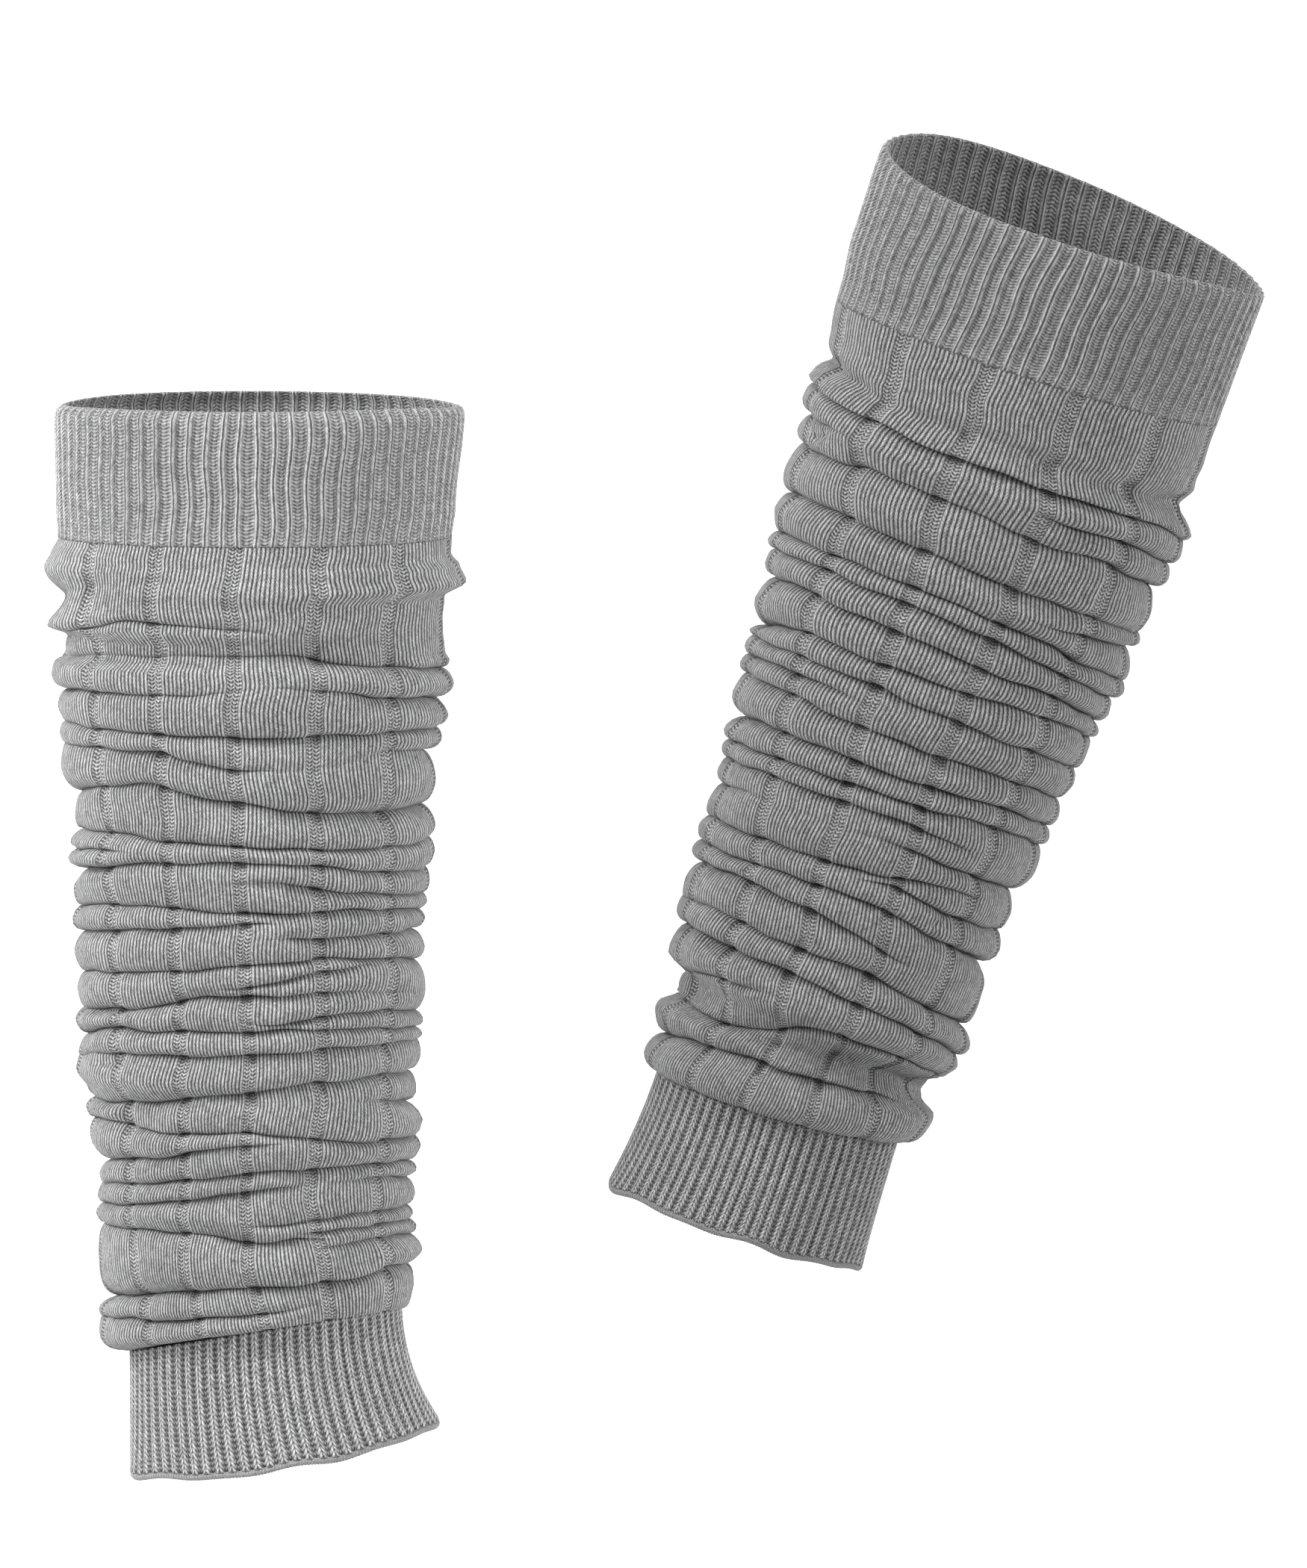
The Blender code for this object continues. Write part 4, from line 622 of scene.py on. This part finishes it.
def leg_levels(warmer):
    """The creases from the top seam to the ankle seam, both seams among them, as charts."""
    angles = chart_angles()
    heights, depths = [seam_height(warmer.top_seam, angles)], [np.zeros(len(angles))]
    for number, fold in enumerate(warmer.folds):
        height, depth = chart_fold(warmer, fold, angles)
        heights.append(height + waved(CREASE_WAVES, angles, number))
        depths.append(depth * (1.0 + waved(DEPTH_WAVES, angles, number)))
    heights.append(seam_height(warmer.ankle_seam, angles))
    depths.append(around(warmer.ankle_tuck, angles))
    for index in range(1, len(heights)):
        heights[index] = np.minimum(heights[index], heights[index - 1] - LEAST_ROLL)
    heights[-1] = seam_height(warmer.ankle_seam, angles)
    for index in range(len(heights) - 2, 0, -1):
        heights[index] = np.maximum(heights[index], heights[index + 1] + LEAST_ROLL)
    spreads = [ANKLE_SPREAD] + [fold.spread for fold in warmer.folds] + [ANKLE_SPREAD]
    return [Level(*level) for level in zip(heights, depths, spreads)]


def chart_angles():
    return np.arange(-180.0, 180.0, CHART_STEP)


def charted(values, angle):
    return np.interp(angle, chart_angles(), values, period=360.0)


def fold_side(nearness, spread):
    """1 in a crease and 0 past its spread: the side of a roll, or of a soft hollow."""
    nearness = np.clip(nearness, 0.0, 1.0)
    if spread >= SOFT_SPREAD:
        return eased(nearness)
    return 1.0 - (1.0 - nearness ** CUSP_POWER) ** (1.0 / CUSP_POWER)


def crease_reach(level, others):
    """How far a crease's side runs toward the nearest real crease among the others."""
    if level.spread >= SOFT_SPREAD:
        return np.full(len(level.heights), level.spread)
    gap = np.full(len(level.heights), FULL_HEIGHT)
    for other in others:
        gap = np.where(other.depths > REAL_DEPTH, np.abs(other.heights - level.heights), gap)
    reach = np.clip(ROLL_SHARE * gap, LEAST_REACH, MOST_REACH * level.spread)
    shifts = range(-REACH_SMOOTHING, REACH_SMOOTHING + 1)
    return sum(np.roll(reach, shift) for shift in shifts) / len(shifts)


def crease_inset(levels, angle, height):
    """How far the creases draw the cloth in, at each angle and height."""
    total = np.zeros(np.shape(angle))
    for index, level in enumerate(levels):
        above = charted(crease_reach(level, levels[:index]), angle)
        below = charted(crease_reach(level, levels[:index:-1]), angle)
        rise = height - charted(level.heights, angle)
        nearness = 1.0 - np.abs(rise) / np.where(rise > 0.0, above, below)
        inset = charted(level.depths, angle) * fold_side(nearness, level.spread)
        total = total + inset ** BLEND_POWER
    return total ** (1.0 / BLEND_POWER)


def ring_plan(levels, pitch, least):
    """(level, share) for each ring from the top down, closer together near the creases."""
    plan = []
    for index, (upper, lower) in enumerate(zip(levels, levels[1:])):
        count = max(least, round(float(np.mean(upper.heights - lower.heights)) / pitch))
        plan.extend((index, (1.0 - np.cos(pi * step / count)) / 2.0) for step in range(count))
    plan.append((len(levels) - 2, 1.0))
    return plan


# ---------------------------------------------------------------- short folds
def front_points(warmer, tuck):
    """A front fold's points as (angle, height) on the tube."""
    points = []
    for x, height in tuck.points:
        angle = seen_angle(warmer, x, height)
        points.append((angle, height + float(front_rise(warmer, height, angle))))
    return points


def tuck_inset(points, depth, width, soft, angle, height):
    """How far one short fold draws the cloth in, at each angle and height."""
    nearest = np.full(np.shape(angle), np.inf)
    along = np.zeros(np.shape(angle))
    lengths = [np.hypot((b[0] - a[0]) * ARC_PER_DEGREE, b[1] - a[1])
               for a, b in zip(points, points[1:])]
    walked = 0.0
    for (start, end), length in zip(zip(points, points[1:]), lengths):
        step_x, step_z = (end[0] - start[0]) * ARC_PER_DEGREE, end[1] - start[1]
        from_x = ((angle - start[0] + 180.0) % 360.0 - 180.0) * ARC_PER_DEGREE
        from_z = height - start[1]
        share = np.clip((from_x * step_x + from_z * step_z) / length ** 2, 0.0, 1.0)
        distance = np.hypot(from_x - share * step_x, from_z - share * step_z)
        closer = distance < nearest
        nearest = np.where(closer, distance, nearest)
        along = np.where(closer, (walked + share * length) / sum(lengths), along)
        walked += length
    nearness = np.clip(1.0 - nearest / width, 0.0, 1.0)
    fade = np.clip(np.minimum(along, 1.0 - along) / TUCK_SHARPNESS, 0.0, 1.0)
    return depth * fold_side(nearness, SOFT_SPREAD if soft else width) * eased(fade)


def hidden_tucks(seed):
    """Short folds for the back and sides, much like the ones in front, as (angle, height)."""
    draw = np.random.default_rng(seed)
    tucks = []
    for step in range(HIDDEN_TUCKS):
        angle = draw.uniform(*HIDDEN_ANGLES)
        height = HIDDEN_LOWEST + (HIDDEN_HIGHEST - HIDDEN_LOWEST) * (step + draw.random()) / HIDDEN_TUCKS
        reach, slope = draw.uniform(*HIDDEN_REACH), draw.uniform(-HIDDEN_SLOPE, HIDDEN_SLOPE)
        bend = draw.uniform(-HIDDEN_BEND, HIDDEN_BEND)
        points = [(angle - reach, height - slope), (angle, height + bend), (angle + reach, height + slope)]
        tucks.append((points, draw.uniform(*HIDDEN_DEPTHS), draw.uniform(*HIDDEN_WIDTHS), False))
    return tucks


# ---------------------------------------------------------------- the leg's grid
def leg_columns():
    """Ladder, share of the way to the next, groove depth and wale number of each column."""
    half = LADDER_WALES / 2.0
    panel = np.linspace(PANEL_EDGE, 1.0 - PANEL_EDGE, PANEL_COLUMNS)
    shares = np.concatenate([[0.0, LADDER_FLOOR], panel, [1.0 - LADDER_FLOOR]])
    grooves = np.concatenate([[1.0, LADDER_FLOOR_SHARE], -PANEL_CROWN * np.sin(pi * (panel - PANEL_EDGE)
                              / (1.0 - 2.0 * PANEL_EDGE)) / LADDER_DEPTH, [LADDER_FLOOR_SHARE]])
    wales = np.interp(shares, (0.0, LADDER_HALF, 1.0 - LADDER_HALF, 1.0),
                      (0.0, half, half + PANEL_WALES, LADDER_WALES + PANEL_WALES)) + half
    repeat = PANEL_WALES + LADDER_WALES
    ladder = np.repeat(np.arange(LADDERS), len(shares))
    wale = (np.arange(LADDERS)[:, None] * repeat + wales[None, :]).ravel()
    return (ladder, np.tile(shares, LADDERS), np.tile(grooves, LADDERS) * LADDER_DEPTH,
            np.append(wale, wale[0] + LADDERS * repeat))


def column_turn(warmer, ladder, share, height):
    """The turn of each column at its own height."""
    heights, rows = zip(*reversed(warmer.ladders))
    seen = [np.interp(height, heights, turns) for turns in zip(*rows)]
    hidden = LADDERS - len(seen)
    gap = (seen[0] + 360.0 - seen[-1]) / (hidden + 1)
    turns = seen + [seen[-1] + gap * (step + 1) for step in range(hidden)] + [seen[0] + 360.0]
    turns = np.stack(turns)
    column = np.arange(len(ladder))
    return turns[ladder, column] * (1.0 - share) + turns[ladder + 1, column] * share


def leg_grid(warmer, levels, plan, columns, wall):
    """Points of one side of a leg, with a ring for each step of the plan."""
    ladder, share, groove, _ = columns
    angles, heights, sags, slacks = [], [], [], []
    for index, down in plan:
        upper, lower = levels[index], levels[index + 1]
        height = np.full(len(share), float(np.mean(upper.heights)))
        for _ in range(TURN_PASSES):
            turn = column_turn(warmer, ladder, share, height)
            angle = even_angle(turn + waved(SWAY_WAVES, turn, height))
            top, foot = charted(upper.heights, angle), charted(lower.heights, angle)
            height = top + (foot - top) * down
        hang = SAG * np.minimum(top - foot, SAG_HEIGHT) * np.sin(pi * down ** SAG_POWER)
        angles.append(angle)
        heights.append(height)
        sags.append(hang * np.minimum(1.0, charted(lower.depths, angle) / FULL_SAG_DEPTH))
        hidden = np.clip((charted(upper.depths, angle) - SLACK_DEPTH) / SLACK_DEPTH, 0.0, 1.0)
        slacks.append(np.ones(len(share)) if wall else hidden * (down == 0.0 and upper.spread < SOFT_SPREAD))
    angle, height = np.array(angles), np.array(heights)
    inset = crease_inset(levels, angle, height)
    seen = [(front_points(warmer, tuck), tuck.depth, tuck.width, tuck.soft) for tuck in warmer.tucks]
    for tuck in seen + hidden_tucks(HIDDEN_SEEDS[warmer.side]):
        inset = inset + tuck_inset(*tuck, angle, height)
    pit = PIT_DEPTH * np.clip(groove / LADDER_DEPTH, 0.0, 1.0) * np.minimum(1.0, inset / PIT_FULL) ** 2
    below = np.clip((charted(levels[0].heights, angle) - height) / SEAM_FADE, 0.0, 1.0)
    inset = inset + waved(SWELL_WAVES, angle, height) * below + SEAM_DRAW * (1.0 - below)
    inset = inset + (wall if wall else groove + pit)
    height = height - np.array(sags) - SEAM_GAP / 2.0 * np.linspace(1.0, -1.0, len(plan))[:, None]
    return tube_point(warmer, angle, height, inset), np.array(slacks)


# ---------------------------------------------------------------- meshes
def course_numbers(rings, course, slack):
    """The knit's course at every point, counted down each column; creases take up the slack."""
    steps = np.linalg.norm(np.roll(rings, -1, axis=0) - rings, axis=2)
    mean = np.cumsum(steps.mean(axis=1))
    near = sum(np.roll(steps, shift, axis=1) for shift in range(-NEAR, NEAR + 1)) / (2 * NEAR + 1)
    counted = [np.zeros(rings.shape[1])]
    for step, level, taken in zip(near, mean, slack):
        below = counted[-1] + step
        counted.append(below + (level - below) * taken)
    return np.array(counted) / (course * MM)


def linked(name, data):
    """A new object in the scene."""
    made = bpy.data.objects.new(name, data)
    bpy.context.scene.collection.objects.link(made)
    return made


def knit_shell(name, rings, wales, flat_rings, course, slack=None):
    """A closed wall from rings of points, down its outside and up its inside."""
    ring_count, column_count = rings.shape[:2]
    courses = course_numbers(rings, course, np.ones(ring_count) if slack is None else slack)
    ring, column = np.meshgrid(np.arange(ring_count), np.arange(column_count), indexing="ij")
    ring, column = ring.ravel(), column.ravel()
    corners = ((ring, column), (ring + 1, column), (ring + 1, column + 1), (ring, column + 1))
    faces = np.stack([(r % ring_count) * column_count + c % column_count for r, c in corners], axis=1)
    knit = np.stack([np.stack([wales[c], courses[r, c % column_count]], axis=-1) for r, c in corners], axis=1)
    mesh = bpy.data.meshes.new(name)
    mesh.from_pydata(rings.reshape(-1, 3).tolist(), [], faces.tolist())
    mesh.uv_layers.new(name=KNIT_MAP).data.foreach_set("uv", knit.ravel())
    mesh.polygons.foreach_set("use_smooth", ~np.isin(ring, [step % ring_count for step in flat_rings]))
    return linked(name, mesh)


def make_leg(warmer):
    columns = leg_columns()
    levels = leg_levels(warmer)
    outer, slack = leg_grid(warmer, levels, ring_plan(levels, RING_PITCH, LEAST_RINGS), columns, 0.0)
    inner, even = leg_grid(warmer, levels, ring_plan(levels, FULL_HEIGHT, INNER_RINGS), columns, WALL)
    return knit_shell(warmer.side + "_leg_knit", np.concatenate([outer, inner[::-1]]), columns[3],
                      (len(outer) - 1, -1), LEG_STITCH.course, np.concatenate([slack, even]))


def rib_columns(profile):
    """The turn, inset and wale number of each column round a ribbed cuff."""
    shares, insets, wales = (np.array(column, dtype=float) for column in zip(*profile))
    ribs = np.arange(RIBS)[:, None]
    turns = ((ribs + shares[None, :] + waved(RIB_STRAYS, ribs)) * 360.0 / RIBS).ravel()
    wale = (ribs * CUFF_WALES + wales[None, :]).ravel()
    return turns, np.tile(insets, RIBS), wale


# ---------------------------------------------------------------- the cuffs
def top_cuff_ring(warmer, up, lift, turns, insets):
    """A ring of the top cuff, up a share of the way from the seam to the rim."""
    angle = even_angle(turns + warmer.rib_twist * up + waved(RIB_WAVES, turns, up))
    seam = seam_height(warmer.top_seam, angle) + SEAM_GAP / 2.0
    height = seam + (around(warmer.rim, angle) - LIP_HEIGHT - seam) * up + lift
    return tube_point(warmer, angle, height, insets)


def lip_rings(place, outer, inner, reach):
    """Rings over a rounded edge, from the outside to the inside."""
    rings = []
    for share in LIP_SHARES:
        over = reach * np.sin(pi * share)
        rings.append(place(over, outer + (inner - outer) * (1.0 - np.cos(pi * share)) / 2.0))
    return rings


def cuff_wall(insets):
    """The inside's insets: it follows the ribs, more softly."""
    return WALL + INNER_RELIEF * (insets.max() - insets)


def make_top_cuff(warmer):
    turns, outer, wales = rib_columns(TOP_RIB)
    inner = cuff_wall(outer)

    def place(up, lift, insets):
        return top_cuff_ring(warmer, up, lift, turns, insets)

    rings = [place(up, 0.0, outer * (SEAM_RELIEF + (1.0 - SEAM_RELIEF) * min(1.0, up / SEAM_SHARE)))
             for up in np.linspace(0.0, 1.0, TOP_CUFF_RINGS)]
    rings += lip_rings(lambda over, insets: place(1.0, over, insets), outer, inner, LIP_HEIGHT)
    rings += [place(up, 0.0, inner) for up in np.linspace(1.0, 0.0, TOP_CUFF_INNER_RINGS)]
    return knit_shell(warmer.side + "_top_cuff_knit", np.stack(rings[::-1]),
                      np.append(wales, RIBS * CUFF_WALES), (-1,), TOP_CUFF_STITCH.course)


def ankle_section(warmer, down):
    """The ankle cuff's left and right edges, on smooth curves through its three rows."""
    weights = ((1.0 - down) * (1.0 - 2.0 * down), 4.0 * down * (1.0 - down), down * (2.0 * down - 1.0))
    return [sum(weight * edge for weight, edge in zip(weights, edges)) for edges in zip(*warmer.ankle)]


def ankle_ring(warmer, down, drop, turns, insets):
    """A ring of the ankle cuff, down a share of the way from its seam to its foot."""
    angle = even_angle(turns)
    left, right = ankle_section(warmer, down)
    out, lift = waved(HEM_OUT_WAVES, turns), waved(HEM_LIFT_WAVES, turns)
    x, y = oval_point(left, right, (left + right) / 2.0, (right - left) / 2.0 * DEPTH_SHARE_HEM,
                      angle, insets - out * down ** HEM_SWAY_POWER)
    left_z, right_z = warmer.hem
    across = np.clip((x - left) / (right - left), 0.0, 1.0)
    foot = left_z + (right_z - left_z) * across ** HEM_CURVE + lift
    seam = seam_height(warmer.ankle_seam, angle)
    return placed(warmer, x, y, seam + (foot - seam) * down - drop)


def make_ankle_cuff(warmer):
    turns, outer, wales = rib_columns(ANKLE_RIB)
    inner = cuff_wall(outer)
    rings = [ankle_ring(warmer, down, 0.0, turns, outer)
             for down in np.linspace(0.0, 1.0, ANKLE_CUFF_RINGS)]
    rings += [ankle_ring(warmer, down, 0.0, turns, inner)
              for down in np.linspace(1.0, 0.0, ANKLE_CUFF_INNER_RINGS)]
    return knit_shell(warmer.side + "_ankle_cuff_knit", np.stack(rings),
                      np.append(wales, RIBS * CUFF_WALES), (ANKLE_CUFF_RINGS - 1, -1), ANKLE_STITCH.course)


def make_hem(warmer):
    """The bound edge: a padded strip with slanting stitches wrapped round it."""
    count = HEM_STITCHES * HEM_STITCH_COLUMNS
    turns = np.arange(count) * 360.0 / count
    rings = []
    for step in range(HEM_SECTION):
        around_section = 2.0 * pi * step / HEM_SECTION
        stitch = np.cos(2.0 * pi * (np.arange(count) / HEM_STITCH_COLUMNS) + around_section)
        swell = 1.0 + HEM_STITCH_RELIEF * stitch
        inset = HEM_THICKNESS / 2.0 * (1.0 - np.cos(around_section) * swell)
        drop = HEM_HEIGHT / 2.0 * (1.0 + np.sin(around_section) * swell)
        rings.append(ankle_ring(warmer, 1.0, drop, turns, inset))
    wales = np.arange(count + 1) / HEM_STITCH_COLUMNS
    return knit_shell(warmer.side + "_hem_binding", np.stack(rings), wales, (), HEM_STITCH.course)


# ---------------------------------------------------------------- the yarn
class Graph:
    """A material's nodes, joined by plain calls."""

    def __init__(self, name):
        self.material = bpy.data.materials.new(name)
        self.material.use_nodes = True
        self.tree = self.material.node_tree
        self.shader = self.tree.nodes["Principled BSDF"]

    def join(self, value, socket):
        if isinstance(value, (int, float, tuple)):
            socket.default_value = value
        else:
            self.tree.links.new(value, socket)

    def node(self, kind, **inputs):
        made = self.tree.nodes.new(kind)
        for name, value in inputs.items():
            self.join(value, made.inputs[name.replace("_", " ")])
        return made

    def maths(self, operation, *values):
        made = self.tree.nodes.new("ShaderNodeMath")
        made.operation = operation
        for value, socket in zip(values, made.inputs):
            self.join(value, socket)
        return made.outputs[0]

    def scaled(self, value, from_low, from_high, to_low, to_high):
        made = self.node("ShaderNodeMapRange", Value=value)
        for name, limit in (("From Min", from_low), ("From Max", from_high),
                            ("To Min", to_low), ("To Max", to_high)):
            made.inputs[name].default_value = limit
        return made.outputs[0]

    def noise(self, where, look):
        return self.node("ShaderNodeTexNoise", Vector=where, Scale=look.scale, Detail=look.detail,
                         Roughness=look.roughness).outputs[0]

    def wave(self, function, cycles):
        return self.maths(function, self.maths("MULTIPLY", cycles, 2.0 * pi))


def knit_places(graph, slope):
    """The wale and course numbers, and a V stitch's phase and its share across."""
    knit_map = graph.node("ShaderNodeUVMap")
    knit_map.uv_map = KNIT_MAP
    parts = graph.node("ShaderNodeSeparateXYZ", Vector=knit_map.outputs[0])
    wale, course = parts.outputs[0], parts.outputs[1]
    within = graph.maths("MULTIPLY", graph.maths("FRACT", wale), 2.0)
    across = graph.maths("ABSOLUTE", graph.maths("SUBTRACT", within, 1.0))
    phase = graph.maths("ADD", course, graph.maths("MULTIPLY", across, slope))
    return wale, course, across, phase


def stitch_height(graph, places, period, knits, look):
    """0 in the gaps between strands and 1 on them: V stitches, or purl rungs past the knits."""
    wale, course, across, phase = places
    bent = graph.maths("POWER", across, look.middle)
    leg = graph.maths("POWER", graph.maths("SINE", graph.maths("MULTIPLY", bent, pi)), V_ROUNDNESS)
    turn = graph.maths("MULTIPLY", graph.maths("FRACT", phase), pi)
    swell = graph.maths("POWER", graph.maths("SINE", turn), V_SWELL)
    bridge = graph.maths("MULTIPLY", graph.maths("SUBTRACT", 1.0, leg), graph.maths(
        "MULTIPLY", swell, graph.scaled(across, 0.0, 1.0, look.join, look.bridge)))
    knit = graph.maths("MULTIPLY", graph.maths("ADD", leg, bridge),
                       graph.scaled(swell, 0.0, 1.0, look.waist, 1.0))
    if knits >= period:
        return knit
    brick = graph.maths("FRACT", graph.maths("MULTIPLY", 0.5, graph.maths("FLOOR", wale)))
    crest = graph.wave("COSINE", wale)
    row = graph.maths("ADD", graph.maths("ADD", course, brick), graph.maths("MULTIPLY", crest, RUNG_BEND))
    rung = graph.maths("POWER", graph.scaled(graph.wave("COSINE", row), -1.0, 1.0, 0.0, 1.0), RUNG_ROUNDNESS)
    dip = graph.scaled(graph.maths("ABSOLUTE", crest), 0.0, 1.0, RUNG_DIP, 0.0)
    purl = graph.maths("SUBTRACT", graph.scaled(rung, 0.0, 1.0, look.rung_bridge, 1.0), dip)
    # Scaling the purls down also darkens them: painted shade in the rib grooves and ladders.
    purl = graph.maths("MULTIPLY", graph.maths("MAXIMUM", purl, 0.0), look.purl)
    place = graph.maths("MODULO", wale, float(period))
    if knits == PANEL_WALES:
        is_purl = graph.maths("LESS_THAN", place, float(period - knits))
    else:
        is_purl = graph.maths("GREATER_THAN", place, float(knits))
    return graph.maths("ADD", graph.maths("MULTIPLY", purl, is_purl),
                       graph.maths("MULTIPLY", knit, graph.maths("SUBTRACT", 1.0, is_purl)))


def yarn_material(name, yarn, period, knits, look):
    """Grey melange yarn: pale strands, painted shade in the gaps, streaks along the fibres and flecks."""
    graph = Graph(name)
    places = knit_places(graph, look.slope)
    wale, _, _, phase = places
    height = stitch_height(graph, places, period, knits, look)
    where = graph.node("ShaderNodeTexCoord").outputs["Object"]
    fibres = graph.node("ShaderNodeCombineXYZ", X=graph.maths("MULTIPLY", phase, STREAK_FINE),
                        Y=graph.maths("MULTIPLY", wale, STREAK_LONG)).outputs[0]
    flecks, clouds, streaks = (graph.noise(*made) for made in (
        (where, FLECKS), (where, CLOUDS), (fibres, STREAKS)))
    stitch = graph.node("ShaderNodeCombineXYZ", X=graph.maths("FLOOR", graph.maths("MULTIPLY", wale, 2.0)),
                        Y=graph.maths("FLOOR", phase))
    chance = graph.node("ShaderNodeTexWhiteNoise", Vector=stitch.outputs[0])
    tones = [graph.scaled(noise, NOISE_LOW, NOISE_HIGH, -look_of.tone, look_of.tone)
             for noise, look_of in ((flecks, FLECKS), (clouds, CLOUDS), (streaks, STREAKS))]
    tones.append(graph.scaled(chance.outputs["Value"], 0.0, 1.0, -STITCH_TONE, STITCH_TONE))
    # Painted shade: the lower a point lies in the stitch pattern, the nearer its colour goes to the yarn's
    # dark tone, as the shade in the gaps and under the legs that the bump can't cast.
    strand = graph.maths("POWER", height, look.dark_reach)
    lit = graph.scaled(strand, 0.0, 1.0, 0.0, STRAND_TONE)
    for tone in tones:
        lit = graph.maths("ADD", lit, graph.maths("MULTIPLY", tone, strand))
    colour = graph.node("ShaderNodeMix")
    colour.data_type = "RGBA"
    graph.join(lit, colour.inputs["Factor"])
    colour.inputs[MIX_DARK].default_value = (*yarn.dark, 1.0)
    colour.inputs[MIX_LIGHT].default_value = (*yarn.light, 1.0)
    relief = graph.maths("ADD", height, graph.scaled(flecks, 0.0, 1.0, 0.0, FLECK_RELIEF))
    bump = graph.node("ShaderNodeBump", Height=relief, Strength=1.0, Distance=STITCH_RELIEF * MM)
    graph.join(colour.outputs[MIX_COLOUR], graph.shader.inputs["Base Color"])
    graph.join(bump.outputs[0], graph.shader.inputs["Normal"])
    for name, value in YARN_SHADER:
        graph.shader.inputs[name].default_value = value
    return graph.material


# ---------------------------------------------------------------- the pair
def finish_piece(piece, node, material):
    piece.data.materials.append(material)
    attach(piece, "root")
    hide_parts(node)


def make_warmer(warmer):
    side, yarn = warmer.side, warmer.yarn
    top, leg = make_top_cuff(warmer), make_leg(warmer)
    ankle, hem = make_ankle_cuff(warmer), make_hem(warmer)
    hem_yarn = Yarn(*(tuple(share * tone for tone in yarn.light) for share in (HEM_LIGHT, HEM_DARK)))
    top_look = yarn_material(side + "_rib_yarn", yarn, CUFF_WALES, 1, TOP_CUFF_STITCH)
    leg_look = yarn_material(side + "_panel_yarn", yarn, PANEL_WALES + LADDER_WALES, PANEL_WALES, LEG_STITCH)
    ankle_look = yarn_material(side + "_ankle_yarn", yarn, CUFF_WALES, 1, ANKLE_STITCH)
    hem_look = yarn_material(side + "_hem_yarn", hem_yarn, 1, 1, HEM_STITCH)
    finish_piece(top, side + "_top_cuff", top_look)
    finish_piece(leg, side + "_leg", leg_look)
    finish_piece(ankle, side + "_ankle_cuff", ankle_look)
    finish_piece(hem, side + "_hem_edge", hem_look)


# ---------------------------------------------------------------- the studio
def area_light(name, place, size, watts, target):
    data = bpy.data.lights.new(name, "AREA")
    data.size, data.energy = size, watts
    lamp = linked(name, data)
    lamp.location = place
    lamp.rotation_euler = (Vector(target) - Vector(place)).to_track_quat("-Z", "Y").to_euler()


def make_backdrop():
    """A pale floor that sweeps up into a white wall."""
    profile = [(-FLOOR_REACH, FLOOR_HEIGHT), (WALL_PLACE - SWEEP, FLOOR_HEIGHT)]
    for step in range(1, SWEEP_STEPS + 1):
        turn = pi / 2.0 * step / SWEEP_STEPS
        profile.append((WALL_PLACE - SWEEP * (1.0 - np.sin(turn)),
                        FLOOR_HEIGHT + SWEEP * (1.0 - np.cos(turn))))
    profile.append((WALL_PLACE, FLOOR_HEIGHT + WALL_REACH))
    points = [(side, y, z) for y, z in profile for side in (-FLOOR_REACH, FLOOR_REACH)]
    faces = [(2 * step, 2 * step + 1, 2 * step + 3, 2 * step + 2) for step in range(len(profile) - 1)]
    mesh = bpy.data.meshes.new("backdrop")
    mesh.from_pydata(points, [], faces)
    mesh.shade_smooth()
    graph = Graph("paper")
    where = graph.node("ShaderNodeTexCoord").outputs["Object"]
    back = graph.node("ShaderNodeSeparateXYZ", Vector=where).outputs[1]
    for name, near, far in (("Base Color", FLOOR_PAPER, WALL_PAPER),
                            ("Emission Strength", 0.0, BACKDROP_GLOW)):
        graph.join(graph.scaled(back, GLOW_START, GLOW_FULL, near, far), graph.shader.inputs[name])
    graph.shader.inputs["Roughness"].default_value = PAPER_ROUGHNESS
    graph.shader.inputs["Emission Color"].default_value = WHITE
    mesh.materials.append(graph.material)
    linked("backdrop", mesh)


def make_camera():
    data = bpy.data.cameras.new("camera")
    data.sensor_width = SENSOR
    data.lens = SENSOR * CAMERA_DISTANCE / VIEW_HEIGHT
    data.clip_end = VIEW_DEPTH
    camera = linked("camera", data)
    elevation = radians(CAMERA_ELEVATION)
    camera.location = (VIEW_CENTRE[0], -CAMERA_DISTANCE * np.cos(elevation),
                       VIEW_CENTRE[1] + CAMERA_DISTANCE * np.sin(elevation))
    camera.rotation_euler = (pi / 2.0 - elevation, 0.0, 0.0)
    bpy.context.scene.camera = camera


def light_the_room():
    world = bpy.data.worlds.new("room")
    world.use_nodes = True
    sky = world.node_tree.nodes["Background"].inputs
    sky["Color"].default_value = WHITE
    sky["Strength"].default_value = WORLD_STRENGTH
    bpy.context.scene.world = world
    bpy.context.scene.view_settings.view_transform = "Standard"
    for lamp in LAMPS:
        area_light(*lamp, VIEW_TARGET)


for pair_member in (LEFT_WARMER, RIGHT_WARMER):
    make_warmer(pair_member)
make_backdrop()
make_camera()
light_the_room()
